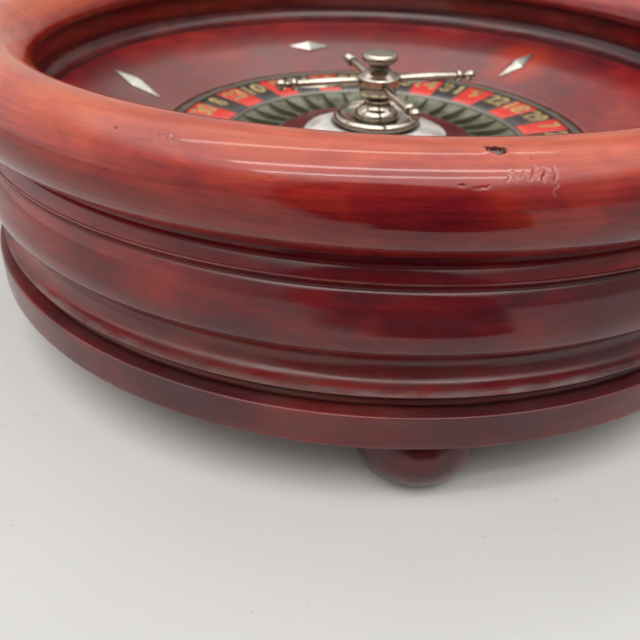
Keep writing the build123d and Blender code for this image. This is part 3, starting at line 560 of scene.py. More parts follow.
def lathe(name, stands_for, look, body, slot, profile, *, step, segments=512, angles=None,
          base=BASE, placement=Matrix(), deform=None, **marks):
    """Turns a closed (radius, height) profile about a vertical axis.

    base is added to every height. marks are the edge, groove and scuff attributes, each a
    list of (radius, height, width, strength) spots on the profile. The groove marks darken the
    colour for dirt together with painted shade.
    """
    on_axis = 1e-4
    points = [(r, base + h) for r, h in profile]
    points = clean(resample(clean(points), step))
    pairs = zip(points, points[1:] + points[:1])
    if sum(a[0] * b[1] - b[0] * a[1] for a, b in pairs) < 0:
        points.reverse()
    angles = angles or [2 * math.pi * i / segments for i in range(segments)]
    count = len(angles)
    bm = bmesh.new()
    rings = []
    for r, z in points:
        if r < on_axis:
            rings.append([bm.verts.new((0, 0, z * MM))] * count)
        else:
            rings.append([bm.verts.new((r * MM * math.cos(a), r * MM * math.sin(a), z * MM))
                          for a in angles])
    for ring, following in zip(rings, rings[1:] + rings[:1]):
        for j in range(count):
            q = (j + 1) % count
            # a ring on the axis is one repeated vertex, which leaves a triangle or nothing
            corners = list(dict.fromkeys((ring[j], ring[q], following[q], following[j])))
            if len(corners) > 2:
                bm.faces.new(corners)
    if deform:
        for vertex in bm.verts:
            deform(vertex)
    bm.transform(placement)
    bmesh.ops.recalc_face_normals(bm, faces=bm.faces)
    mesh = to_mesh(bm, name, sharp_angle=32.0)
    for key in ("edge", "groove", "scuff"):
        values = []
        for r, z in points:
            strongest = 0.0
            for mark_r, mark_h, width, strength in marks.get(key, []):
                distance = math.hypot(r - mark_r, z - (base + mark_h))
                strongest = max(strongest, strength * math.exp(-((distance / width) ** 2)))
            values += [strongest] * (1 if r < on_axis else count)
        mesh.attributes.new(key, "FLOAT", "POINT").data.foreach_set("value", values)
    return new_piece(name, mesh, look, body, stands_for)


# ======================================================================================
# bowl: shared levels and radii
# ======================================================================================
PLINTH_TOP = 17.6
COVE_TOP = 45.1
BEAD_TOP = 82.1
NECK_TOP = 92.2
REBATE_FLOOR = 72.0   # step inside the middle bead that carries the track
APRON_SEAT = 78.0     # where the track and the apron meet underneath
LOWER_BORE = 205.0
UPPER_BORE = 216.0
RIM_BORE = 211.0
APRON_IN_R, APRON_IN_TOP = 137.2, 63.4
APRON_OUT_R, APRON_OUT_TOP = 203.0, 88.0
APRON_SLOPE = (APRON_OUT_TOP - APRON_IN_TOP) / (APRON_OUT_R - APRON_IN_R)

# ======================================================================================
# bowl: the rim and its knocks
# ======================================================================================
NOSE_R, NOSE_HEIGHT, NOSE_RADIUS = 228.0, 113.5, 22.05  # bull-nose centre and section radius
LIP_TIP = (203.5, 116.5)

# (azimuth from the front towards the right, elevation on the bull-nose, length, width, depth)
CHIP = (10.35, 72.0, 6.2, 4.4, 1.5)
DENTS = [
    (-23.29, 54.0, 1.6, 1.0, 0.35), (-28.6, -9.0, 1.2, 0.9, 0.25), (-18.9, 57.0, 1.1, 0.7, 0.2),
    (-17.9, 55.0, 0.9, 0.6, 0.18), (-19.8, 56.0, 0.8, 0.6, 0.15), (-23.2, 12.0, 0.8, 0.8, 0.2),
    (7.1, 35.0, 2.6, 0.8, 0.14), (13.1, 60.0, 0.9, 0.8, 0.2), (-8.0, 31.0, 0.9, 0.6, 0.12),
]
CHIP_SKEW = 0.15
# (azimuth, elevation, length, half width, depth, turn in degrees from the way round the ring)
rng = random.Random(7)
SCRATCHES = [
    (10.9 + 0.18 * i + rng.uniform(-0.15, 0.15), 43 + rng.uniform(-5, 6),
     rng.uniform(1.2, 3.6), rng.uniform(0.35, 0.7), rng.uniform(0.05, 0.13), rng.uniform(0, 180))
    for i in range(20)
] + [
    (14.85, 41, 8.5, 0.7, 0.24, 91), (14.6, 30, 5.0, 0.5, 0.12, 97),
    (13.9, 43, 5.2, 0.9, 0.34, 74), (13.1, 47, 4.2, 0.9, 0.30, 84),
    (8.9, 33, 5.5, 0.5, 0.18, 20), (-18.6, 55, 6.0, 0.6, 0.24, 62),
    (-17.4, 55, 5.0, 0.5, 0.20, 118),
]
# (from, to, step) azimuths where the rim is divided finely
FINE_SECTORS = [(-30.0, -26.5, 0.16), (-24.4, -22.2, 0.10), (-20.6, -17.2, 0.10),
                (-8.8, -7.4, 0.12), (6.2, 8.0, 0.12), (8.6, 16.2, 0.07)]
COARSE_STEP = 0.70


def rim_frame(azimuth, elevation):
    """A point on the bull-nose, its tangents round the ring and up the section, its normal."""
    a, e = math.radians(azimuth - 90), math.radians(elevation)
    normal = Vector((math.cos(a) * math.cos(e), math.sin(a) * math.cos(e), math.sin(e)))
    centre = Vector((math.cos(a) * NOSE_R, math.sin(a) * NOSE_R, BASE + NOSE_HEIGHT))
    tangent = Vector((-math.sin(a), math.cos(a), 0))
    return centre + normal * NOSE_RADIUS, tangent, normal.cross(tangent), normal


KNOCK_FRAMES = [(rim_frame(az, el), size, i == 0)
                for i, (az, el, *size) in enumerate([CHIP] + DENTS)]
SCRATCH_FRAMES = [(rim_frame(az, el), size) for az, el, *size in SCRATCHES]


def knock_reach(offset, axes, size, is_chip):
    """How far out an offset lies in a knock, about 1 at its border."""
    _, tangent, upward, _ = axes
    along = offset.dot(tangent) / size[0]
    skew = CHIP_SKEW * offset.dot(tangent) if is_chip else 0.0
    across = (offset.dot(upward) + skew) / size[1]
    if is_chip:  # a wedge: straight at the top and pointed towards the front
        return max(2.4 * across, -1.9 * across + 1.6 * abs(along), 1.9 * abs(along))
    return math.hypot(along, across) * 2


def scratch_offsets(offset, axes, turn):
    """Distances along and across a slightly wavy scratch."""
    _, tangent, upward, _ = axes
    a = math.radians(turn)
    along = offset.dot(tangent) * math.cos(a) + offset.dot(upward) * math.sin(a)
    across = -offset.dot(tangent) * math.sin(a) + offset.dot(upward) * math.cos(a)
    return along, across + 0.3 * math.sin(along * 1.7)


def beyond_knocks(point):
    return point.y > -180 or abs(point.x) > 150


def knock_rim(vertex):
    """Presses the chip, dents and scratches into a vertex of the rim."""
    point = vertex.co / MM
    if beyond_knocks(point):
        return
    for axes, size, is_chip in KNOCK_FRAMES:
        offset = point - axes[0]
        if offset.length > 12:
            continue
        normal = axes[3]
        wobble = 0.35 * noise.noise(point * 0.9)
        reach = knock_reach(offset, axes, size, is_chip) + (0.5 if is_chip else 1.0) * wobble
        if reach < 1.25:
            f = 1 - max(0.0, min(1.0, (reach - 0.55) / 0.7))
            vertex.co -= normal * MM * size[2] * f * f * (3 - 2 * f)
        elif reach < 2.0 and is_chip:  # a slight burr round the chip
            vertex.co += normal * MM * 0.06 * (1 - abs(reach - 1.5) / 0.5)
    for axes, (length, width, depth, turn) in SCRATCH_FRAMES:
        offset = point - axes[0]
        if offset.length > 8:
            continue
        along, across = scratch_offsets(offset, axes, turn)
        if abs(along) < length / 2 and abs(across) < width:
            f = (1 - (2 * along / length) ** 2) * (1 - (across / width) ** 2)
            vertex.co -= axes[3] * MM * depth * f


def rim_angles():
    """Even steps round the ring, with close ones where the knocks are."""
    out, azimuth = [], -180.0
    while azimuth < 180.0 - 1e-6:
        out.append(azimuth)
        step = COARSE_STEP
        for low, high, fine_step in FINE_SECTORS:
            if low <= azimuth < high:
                step = fine_step
            elif azimuth < low < azimuth + step:
                step = low - azimuth
        azimuth += step
    return [math.radians(a - 90) for a in out]


def dirty_knocks(mesh):
    """Marks dirt with painted shade, and bare wood, in the chip and dents, and grey along the
    scratches.
    """
    groove, scuff = mesh.attributes["groove"].data, mesh.attributes["scuff"].data

    def deepen(layer, index, value):
        layer[index].value = max(layer[index].value, value)

    for vertex in mesh.vertices:
        point = vertex.co / MM
        if beyond_knocks(point) or point.z < BASE + 110:
            continue
        for axes, size, is_chip in KNOCK_FRAMES:
            offset = point - axes[0]
            if offset.length > 10:
                continue
            reach = knock_reach(offset, axes, size, is_chip)
            if is_chip:
                reach += 0.17 * noise.noise(point * 0.9)
                border = math.exp(-(((reach - 0.85) / 0.28) ** 2))
                dirt_and_shade = min(1.0, 1.1 * border + (0.55 if reach < 0.9 else 0.0))
                deepen(groove, vertex.index, dirt_and_shade)
                deepen(scuff, vertex.index, 0.9 if reach < 0.75 else 0.0)
            else:
                deepen(groove, vertex.index, 0.8 * math.exp(-((reach / 0.8) ** 2)))
        for axes, (length, width, _, turn) in SCRATCH_FRAMES:
            offset = point - axes[0]
            if offset.length > 8:
                continue
            along, across = scratch_offsets(offset, axes, turn)
            if abs(along) < length / 2 and abs(across) < width * 1.2:
                deepen(scuff, vertex.index, 0.35 * (1 - abs(across) / (1.2 * width)))


def make_rim():
    nose = arc((NOSE_R, NOSE_HEIGHT), NOSE_RADIUS, -75.0, 125.0, 90)
    tilt = math.radians(35)
    lip = hermite(nose[-1], LIP_TIP, (-math.cos(tilt), -math.sin(tilt)), (0, -1), 24)
    under = hermite(LIP_TIP, (208.2, 111.6), (0, -1), (1, 0.02), 10)
    wall = [(210.6, 111.4), (RIM_BORE, 111.0), (RIM_BORE, NECK_TOP), (233.2, NECK_TOP)]
    # the groove marks under the lip and down the inner wall paint the shadow of the overhang; the
    # one at the seam is dirt with painted shade
    rim = lathe("rim", "rim_ring", "rim", "bowl", "mahogany",
                nose + lip[1:] + under[1:] + wall, step=0.85, angles=rim_angles(),
                deform=knock_rim,
                groove=[(230.6, 92.2, 1.6, 0.8), (209.0, 111.5, 3.0, 0.9),
                        (211.0, 97.0, 3.5, 0.8)])
    dirty_knocks(rim.data)


make_rim()

# ======================================================================================
# bowl: the other turned rings, from the top down
# ======================================================================================
lathe("neck", "neck_ring", "upper", "bowl", "mahogany",
      [(UPPER_BORE, BEAD_TOP)]
      + through([(236.2, BEAD_TOP), (234.7, 84.6), (232.8, 87.1)], (-0.45, 1), (-0.9, 1), 6)
      + [(232.45, 87.4), (231.5, 88.0)]
      + through([(231.2, 88.3), (230.6, 90.0), (232.0, NECK_TOP)], (-0.5, 1), (1, 0.8), 5)
      + [(UPPER_BORE, NECK_TOP)],
      step=0.6, edge=[(232.7, 87.2, 0.28, 0.35)], scuff=[(232.7, 87.2, 0.3, 0.20)],
      groove=[(231.2, 90.2, 1.4, 0.45)])

BEAD_BELLY = [(230.9, COVE_TOP), (236.6, 48.0), (239.9, 56.5), (239.0, 66.0), (236.9, 73.6),
              (234.3, 77.2)]
BEAD_FLARE = [(234.3, 77.4), (234.9, 78.9), (236.85, 81.1)]
lathe("middle_bead", "middle_bead_ring", "middle", "bowl", "mahogany",
      [(LOWER_BORE, COVE_TOP)]
      + through(BEAD_BELLY, (1, 0.12), (-1, 0.75), 12)
      + through(BEAD_FLARE, (0.05, 1), (0.75, 1), 7)
      + [(236.98, 81.3), (236.95, 81.6), (236.7, 81.95), (236.3, BEAD_TOP),
         (UPPER_BORE, BEAD_TOP), (UPPER_BORE, REBATE_FLOOR), (LOWER_BORE, REBATE_FLOOR)],
      step=0.9, edge=[(236.95, 81.5, 0.5, 0.95)],
      groove=[(234.2, 77.4, 0.9, 0.35), (232.0, 45.2, 1.6, 0.8)])

SCOTIA = [(234.3, 26.3), (227.6, 29.6), (224.9, 36.0), (227.0, 42.2), (231.5, COVE_TOP)]
# the groove marks round the small bead at the foot paint its shade under the cove's edge
lathe("cove", "cove_ring", "lower", "bowl", "mahogany",
      [(LOWER_BORE, PLINTH_TOP), (230.2, PLINTH_TOP)]
      + arc((229.5, 20.0), 2.5, -73.7, 73.7, 10)[1:]
      + [(230.2, 23.1), (230.4, 23.4), (234.3, 24.85), (234.75, 25.2), (235.0, 25.7),
         (234.8, 26.1)]
      + through(SCOTIA, (-1, 0.15), (1, 0.35), 8)
      + [(LOWER_BORE, COVE_TOP)],
      step=0.7, edge=[(235.0, 25.7, 0.55, 0.8)],
      groove=[(230.3, 23.0, 2.2, 1.0), (230.3, 17.8, 1.2, 0.9), (232.0, 20.0, 2.2, 0.55),
              (231.0, 44.6, 2.0, 0.75)],
      scuff=[(234.0, 26.6, 1.8, 1.0), (235.0, 25.7, 0.8, 0.9)])

PLINTH_R = 239.1
# the groove marks on the top paint the shade along the foot of the cove
lathe("plinth", "plinth_ring", "plinth", "bowl", "mahogany",
      rounded([(180.0, 8.0), (190.0, 8.0), (190.0, 0.0), (PLINTH_R, 0.0),
               (PLINTH_R, PLINTH_TOP), (180.0, PLINTH_TOP)], {3: 0.7, 4: 0.9}, 5),
      step=1.2, edge=[(238.95, 17.45, 0.45, 0.95), (239.0, 0.3, 0.6, 0.5)],
      groove=[(231.0, 17.6, 2.6, 0.8), (234.4, 17.6, 2.6, 0.6), (236.4, 17.6, 1.4, 0.5)])

lathe("ball_track", "ball_track_ring", "track", "bowl", "mahogany",
      [(APRON_OUT_R, 87.98)]
      + hermite((APRON_OUT_R, APRON_OUT_TOP), (RIM_BORE, 97.0), (1, 0.18), (0.05, 1), 16)[1:]
      + [(RIM_BORE, NECK_TOP), (UPPER_BORE, NECK_TOP), (UPPER_BORE, REBATE_FLOOR),
         (197.0, REBATE_FLOOR), (197.0, APRON_SEAT), (APRON_OUT_R, APRON_SEAT)],
      step=0.9, groove=[(203.2, 88.1, 0.9, 0.9)], scuff=[(207.0, 90.6, 1.8, 0.25)])

lathe("apron_cone", "apron", "apron", "bowl", "mahogany",
      rounded([(APRON_IN_R, 54.4), (APRON_IN_R, APRON_IN_TOP), (202.95, 87.98),
               (202.95, APRON_SEAT), (196.9, APRON_SEAT), (196.9, 75.9)], {1: 0.8, 2: 0.35}, 4),
      step=2.2, edge=[(137.5, 63.5, 0.9, 0.6)], groove=[(202.9, 87.9, 1.5, 0.9)])

# ======================================================================================
# feet and their felt pads, with heights above the table
# ======================================================================================
PAD_R, PAD_TOP = 12.0, 1.5
FOOT_TOP = 38.0
FOOT_CURVE = [(12.6, 1.7), (21.5, 4.4), (28.2, 12.5), (29.95, 21.5), (27.6, 31.0), (22.8, 37.3)]
foot_places = {}
for node in ("foot_front", "foot_left", "foot_back", "foot_right"):
    low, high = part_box(node)
    foot_places[node] = Matrix.Translation(((low.x + high.x) / 2, (low.y + high.y) / 2, 0))

for node, place in foot_places.items():
    # the groove marks paint shade at the top of each foot under the plinth, and at the felt pad
    lathe("bun_" + node, node, "foot", "bowl", "mahogany",
          [(0.0, PAD_TOP), (11.6, PAD_TOP)] + through(FOOT_CURVE, (1, 0.10), (-0.55, 1), 9)
          + [(22.4, FOOT_TOP), (0.0, FOOT_TOP)],
          step=1.6, segments=96, base=0.0, placement=place,
          groove=[(22.6, 37.8, 2.2, 0.9), (12.0, 1.5, 1.4, 0.8)])

for i, place in enumerate(foot_places.values()):
    lathe("felt_pad_%d" % (i + 1), "felt_pads", "felt", "bowl", "felt",
          rounded([(0.0, 0.0), (PAD_R, 0.0), (PAD_R, PAD_TOP), (0.0, PAD_TOP)],
                  {1: 0.4, 2: 0.3}, 3),
          step=1.4, segments=48, base=0.0, placement=place)

# ======================================================================================
# deflectors: six diamonds on the apron, lying along and across it in turn
# ======================================================================================
DEFLECTOR_R = 167.8
DEFLECTOR_AZIMUTH = -80.6  # of the first, from the back towards the right
# (half length down the apron, half width round it, turn in degrees)
DEFLECTOR_SHAPES = [(20.0, 6.25, -10.0), (6.25, 17.5, -4.0)]
# (height above the apron, scale of the outline)
DEFLECTOR_LEVELS = [(-0.25, 1.0), (0.75, 1.0), (4.5, 0.10)]


def make_deflector(index):
    azimuth = math.radians(DEFLECTOR_AZIMUTH + 60 * index)
    out_x, out_y = math.sin(azimuth), math.cos(azimuth)
    height = APRON_IN_TOP + APRON_SLOPE * (DEFLECTOR_R - APRON_IN_R)
    origin = Vector((out_x * DEFLECTOR_R, out_y * DEFLECTOR_R, BASE + height)) * MM
    slant = math.sqrt(1 + APRON_SLOPE * APRON_SLOPE)
    downhill = Vector((-out_x, -out_y, -APRON_SLOPE)) / slant
    normal = Vector((-out_x * APRON_SLOPE, -out_y * APRON_SLOPE, 1)) / slant
    sideways = normal.cross(downhill)
    half_length, half_width, turn = DEFLECTOR_SHAPES[index % 2]
    cos, sin = math.cos(math.radians(turn)), math.sin(math.radians(turn))
    bm = bmesh.new()

    def corner(x, y, z):
        return bm.verts.new(origin + downhill * (x * cos - y * sin) * MM
                            + sideways * (x * sin + y * cos) * MM + normal * z * MM)

    rings = []
    for z, scale in DEFLECTOR_LEVELS:
        x, y = half_length * scale, half_width * scale
        rings.append([corner(x, 0, z), corner(0, y, z), corner(-x, 0, z), corner(0, -y, z)])
    bm.faces.new(reversed(rings[0]))
    for a, b in zip(rings, rings[1:]):
        for j in range(4):
            q = (j + 1) % 4
            bm.faces.new((a[j], a[q], b[q], b[j]))
    bm.faces.new(rings[-1])
    bmesh.ops.recalc_face_normals(bm, faces=bm.faces)
    bmesh.ops.bevel(bm, geom=[e for e in bm.edges], offset=0.32 * MM, segments=3, profile=0.6,
                    affect="EDGES", clamp_overlap=True)
    for key in ("edge", "groove", "scuff"):
        bm.verts.layers.float.new(key)
    groove = bm.verts.layers.float["groove"]
    # darker towards the foot: painted shade and dirt where the diamond meets the apron
    for vertex in bm.verts:
        height = (vertex.co - origin).dot(normal) / MM
        vertex[groove] = max(0.0, 1 - height / 0.8) * 0.8
    name = "diamond_deflector_%d" % (index + 1)
    new_piece(name, to_mesh(bm, name, sharp_angle=40), "diamond", "bowl",
              "deflector_%d" % (index + 1))


for i in range(6):
    make_deflector(i)

# ======================================================================================
# wheelhead: trim rings and the number ring
# ======================================================================================
lathe("outer_trim", "outer_trim_ring", "trim", "wheelhead", "nickel",
      rounded([(129.8, 57.0), (136.0, 57.0), (136.0, 62.8), (134.8, 63.35), (132.4, 63.4),
               (129.8, 62.45)], {2: 0.7, 3: 0.8, 4: 2.2}, 5),
      step=0.9, segments=384, groove=[(129.8, 62.4, 0.6, 0.8), (136.0, 62.6, 0.8, 0.9)])
lathe("inner_trim", "inner_trim_ring", "trim_in", "wheelhead", "nickel",
      rounded([(96.0, 54.0), (99.9, 54.0), (99.9, 58.55), (97.9, 59.0), (96.0, 58.3)],
              {2: 0.4, 3: 1.4, 4: 0.5}, 5),
      step=0.9, segments=384, groove=[(99.9, 58.5, 0.4, 0.8)])


def enamel_height(r):
    """Height of the enamel on the sloping number ring."""
    return 58.1 + 0.125 * (r - 97.3)


lathe("number_ring_base", "number_ring", "black", "wheelhead", "enamel",
      [(r, enamel_height(r) - drop)
       for r, drop in ((100.0, 2.0), (129.7, 2.0), (129.7, 0.28), (100.0, 0.28))],
      step=3.0, segments=384)

# numbers clockwise as seen from above
ORDER = [0, 32, 15, 19, 4, 21, 2, 25, 17, 34, 6, 27, 13, 36, 11, 30, 8, 23, 10,
         5, 24, 16, 33, 1, 20, 14, 31, 9, 22, 18, 29, 7, 28, 12, 35, 3, 26]
REDS = {32, 19, 21, 25, 34, 27, 36, 30, 23, 5, 16, 1, 14, 9, 18, 7, 12, 3}
CELL_PITCH = 360 / len(ORDER)
TILE_RADII = [100.1, 100.35, 105.0, 110.0, 115.0, 120.0, 125.0, 129.3, 129.6]
TILE_PARTS = 12        # divisions round each tile
TILE_GAP = 0.12        # half the parallel gap between neighbours
TILE_EDGE_DROP = 0.16
TILE_THICKNESS = 0.3


def cell_azimuth(index):
    """Centre of a cell in degrees, from the back (+Y) towards the right (+X)."""
    return -1.16 + (index - 23) * CELL_PITCH


def add_tile(bm, index):
    """A thin closed tile with softened edges."""
    start = cell_azimuth(index) - CELL_PITCH / 2
    end = cell_azimuth(index) + CELL_PITCH / 2
    grid = []
    for r in TILE_RADII:
        row = []
        for j in range(TILE_PARTS + 1):
            s = j / TILE_PARTS
            a = math.radians(start + (end - start) * s)
            shift = TILE_GAP * (1 - 2 * s)
            x = r * math.sin(a) + shift * math.cos(a)
            y = r * math.cos(a) - shift * math.sin(a)
            on_edge = r in (TILE_RADII[0], TILE_RADII[-1]) or j in (0, TILE_PARTS)
            z = BASE + enamel_height(r) - (TILE_EDGE_DROP if on_edge else 0.0)
            row.append(bm.verts.new((x * MM, y * MM, z * MM)))
        grid.append(row)
    for inner, outer in zip(grid, grid[1:]):
        for j in range(TILE_PARTS):
            bm.faces.new((inner[j], outer[j], outer[j + 1], inner[j + 1]))
    border = (grid[0] + [row[-1] for row in grid[1:]] + grid[-1][-2::-1]
              + [row[0] for row in grid[-2:0:-1]])
    under = [bm.verts.new((v.co.x, v.co.y, v.co.z - TILE_THICKNESS * MM)) for v in border]
    for j in range(len(border)):
        q = (j + 1) % len(border)
        bm.faces.new((border[j], border[q], under[q], under[j]))
    bm.faces.new(under)


def make_cells(name, members, look):
    bm = bmesh.new()
    for index in members:
        add_tile(bm, index)
    bmesh.ops.recalc_face_normals(bm, faces=bm.faces)
    new_piece(name, to_mesh(bm, name, sharp_angle=50), look, "wheelhead")


make_cells("red_cells", [i for i, n in enumerate(ORDER) if n in REDS], "red")
make_cells("black_cells", [i for i, n in enumerate(ORDER) if n and n not in REDS], "black")
make_cells("zero_cell", [0], "green")

NUMERAL_R = 120.2
NUMERAL_HEIGHT = 15.0
NUMERAL_WIDTHS = {"one": 4.4, "digit": 7.6, "pair": 16.2}
NUMERAL_RELIEF = 7.0  # millimetres per unit of text depth
NUMERAL_SINK = 0.03


def text_mesh(text):
    """Raised text one unit high, as a mesh."""
    curve = bpy.data.curves.new("numeral_curve", "FONT")
    curve.body = text
    curve.size = 1.0
    curve.align_x = "CENTER"
    curve.align_y = "CENTER"
    curve.extrude = 0.012
    curve.offset = 0.026
    curve.bevel_depth = 0.006
    curve.bevel_resolution = 1
    curve.resolution_u = 6
    obj = add_object("numeral_tmp", curve)
    depsgraph = bpy.context.evaluated_depsgraph_get()
    mesh = bpy.data.meshes.new_from_object(obj.evaluated_get(depsgraph))
    bpy.data.objects.remove(obj)
    bpy.data.curves.remove(curve)
    return mesh


def add_numeral(bm, index, number):
    """A numeral with its top outwards, wrapped round the ring."""
    flat = text_mesh(str(number))
    xs = [v.co.x for v in flat.vertices]
    ys = [v.co.y for v in flat.vertices]
    z_low = min(v.co.z for v in flat.vertices)
    x_mid, y_mid = (min(xs) + max(xs)) / 2, (min(ys) + max(ys)) / 2
    text_width, text_height = max(xs) - min(xs), max(ys) - min(ys)
    width = NUMERAL_WIDTHS["pair" if number > 9 else "one" if number == 1 else "digit"]
    azimuth = math.radians(cell_azimuth(index))
    part = bmesh.new()
    part.from_mesh(flat)
    bpy.data.meshes.remove(flat)
    for v in part.verts:
        r = NUMERAL_R + (v.co.y - y_mid) / text_height * NUMERAL_HEIGHT
        a = azimuth + (v.co.x - x_mid) / text_width * width / NUMERAL_R
        z = BASE + enamel_height(r) - NUMERAL_SINK + (v.co.z - z_low) * NUMERAL_RELIEF
        v.co = Vector((r * math.sin(a), r * math.cos(a), z)) * MM
    bmesh.ops.recalc_face_normals(part, faces=part.faces)
    placed = to_mesh(part, "numeral_part")
    bm.from_mesh(placed)
    bpy.data.meshes.remove(placed)


def make_numerals():
    bm = bmesh.new()
    for index, number in enumerate(ORDER):
        add_numeral(bm, index, number)
    bmesh.ops.remove_doubles(bm, verts=bm.verts, dist=1e-6)
    bmesh.ops.recalc_face_normals(bm, faces=bm.faces)
    new_piece("gold_numerals", to_mesh(bm, "gold_numerals"), "gold", "wheelhead")


make_numerals()

# ======================================================================================
# wheelhead: pockets, frets and cone
# ======================================================================================
HEAD_FLOOR = 47.5
POCKET_IN_R, POCKET_OUT_R = 64.8, 95.9
lathe("pocket_bowl", "pocket_ring", "pewter", "wheelhead", "pewter",
      hermite((POCKET_IN_R, 56.2), (POCKET_OUT_R, 57.4), (1, -0.62), (1, 0.66), 40)
      + [(POCKET_OUT_R, HEAD_FLOOR), (POCKET_IN_R, HEAD_FLOOR)],
      step=1.5, segments=384, groove=[(80.0, 51.6, 5.0, 0.25)])

FRET_OUTLINE = [(65.6, 50.2), (95.4, 50.2), (95.4, 58.3), (92.0, 58.0), (80.0, 57.0),
                (68.0, 56.9), (65.6, 56.6)]  # (radius, height)
FRET_CORNERS = {2: 0.6, 3: 3, 4: 6, 5: 3, 6: 0.6}
FRET_CROWN = 0.28  # the top edge stands this far above its sides
FRET_LAYERS = [(-0.6, 0.0), (-0.32, FRET_CROWN), (0.32, FRET_CROWN), (0.6, 0.0)]


def add_fret(bm, index):
    """A radial blade between two pockets, in layers of (sideways offset, rise of the top)."""
    azimuth = math.radians(cell_azimuth(index) + CELL_PITCH / 2)
    out_x, out_y = math.sin(azimuth), math.cos(azimuth)
    layers = []
    for offset, rise in FRET_LAYERS:
        layer = []
        for r, h in rounded(FRET_OUTLINE, FRET_CORNERS, 4):
            z = BASE + h
            if h > 55:
                z += rise - FRET_CROWN
            layer.append(bm.verts.new(((out_x * r + out_y * offset) * MM,
                                       (out_y * r - out_x * offset) * MM, z * MM)))
        layers.append(layer)
    bm.faces.new(layers[0])
    bm.faces.new(list(reversed(layers[-1])))
    for a, b in zip(layers, layers[1:]):
        for j in range(len(a)):
            q = (j + 1) % len(a)
            bm.faces.new((a[j], b[j], b[q], a[q]))


def make_frets():
    bm = bmesh.new()
    for index in range(len(ORDER)):
        add_fret(bm, index)
    bmesh.ops.recalc_face_normals(bm, faces=bm.faces)
    new_piece("frets", to_mesh(bm, "frets", sharp_angle=35), "fret", "wheelhead",
              "pocket_frets")


make_frets()

lathe("wood_cone", "rotor_cone", "cone", "wheelhead", "mahogany",
      [(46.7, HEAD_FLOOR)]
      + through([(46.7, 59.6), (55.5, 58.7), (63.8, 57.0)], (1, -0.05), (1, -0.28), 10)
      + [(64.5, 56.6), (64.75, 56.2), (64.75, HEAD_FLOOR)],
      step=1.4, segments=256, groove=[(64.6, 56.4, 1.0, 0.8), (46.8, 59.6, 0.9, 0.7)])
# the groove mark at the foot of the turret paints a dark ring: a painted reflection of the
# turret's dark underside
lathe("cone_cover", "cone_plate", "plate", "wheelhead", "nickel",
      [(20.0, 64.8), (28.0, 64.8), (46.65, 58.3), (46.65, 59.9)]
      + hermite((46.6, 60.1), (28.0, 66.6), (-1, 0.42), (-1, 0.26), 24) + [(20.0, 66.6)],
      step=0.8, segments=256, groove=[(28.0, 66.6, 1.3, 1.0), (46.6, 59.9, 0.7, 0.7)])

# ======================================================================================
# turret: dish, bell, cup and finial stacked on the axis
# ======================================================================================
BELL_TOP = 82.8
CUP_TOP = 101.0
lathe("turret_dish", "turret_base", "nickel", "wheelhead", "nickel",
      [(16.05, 62.2), (18.9, 62.2), (18.9, 66.7)]
      + arc((24.95, 69.65), 2.93, -85, 82, 20) + [(24.6, 72.15), (23.9, 71.35)]
      + hermite((23.6, 71.2), (14.4, 69.6), (-0.7, -0.6), (-1, 0), 14)[1:]
      + [(12.0, 69.6), (12.0, 66.7), (16.05, 66.7)],
      step=0.6, segments=192,
      groove=[(24.1, 71.5, 0.75, 0.95), (14.5, 69.7, 1.1, 0.9), (25.6, 67.0, 1.6, 1.0)],
      edge=[(27.2, 71.3, 1.0, 0.5)])

BELL_CURVE = [(14.0, 69.9), (14.3, 71.6), (12.9, 74.8), (9.6, 77.4), (8.4, 79.6), (9.25, 82.6)]
lathe("turret_bell", "turret_column", "nickel", "wheelhead", "nickel",
      [(0.0, 70.4), (11.0, 70.4), (11.0, 69.65), (13.9, 69.65)]
      + through(BELL_CURVE, (0.4, 1), (0.6, 1), 8) + [(9.0, BELL_TOP), (0.0, BELL_TOP)],
      step=0.5, segments=160,
      groove=[(9.1, 82.7, 1.0, 0.9), (8.4, 79.8, 2.6, 0.85), (14.0, 70.0, 0.8, 0.8),
              (14.2, 72.0, 2.4, 0.40)])

CUP_WALL = [(9.25, 82.95), (11.4, 85.6), (13.0, 89.8), (13.3, 95.0)]
CUP_SHOULDER = [(12.7, 96.1), (9.2, 98.4), (6.5, 100.8)]
lathe("turret_cup", "turret_hub", "nickel", "wheelhead", "nickel",
      [(0.0, BELL_TOP), (9.0, BELL_TOP)] + through(CUP_WALL, (0.9, 1), (0, 1), 8)
      + [(13.25, 95.6), (12.9, 96.0)] + through(CUP_SHOULDER, (-1, 0.45), (-0.5, 1), 8)
      + [(6.2, CUP_TOP), (0.0, CUP_TOP)],
      step=0.5, segments=160, groove=[(6.3, 100.6, 1.6, 0.9), (9.3, 83.4, 1.8, 0.8)],
      edge=[(13.2, 95.7, 0.5, 0.6)])

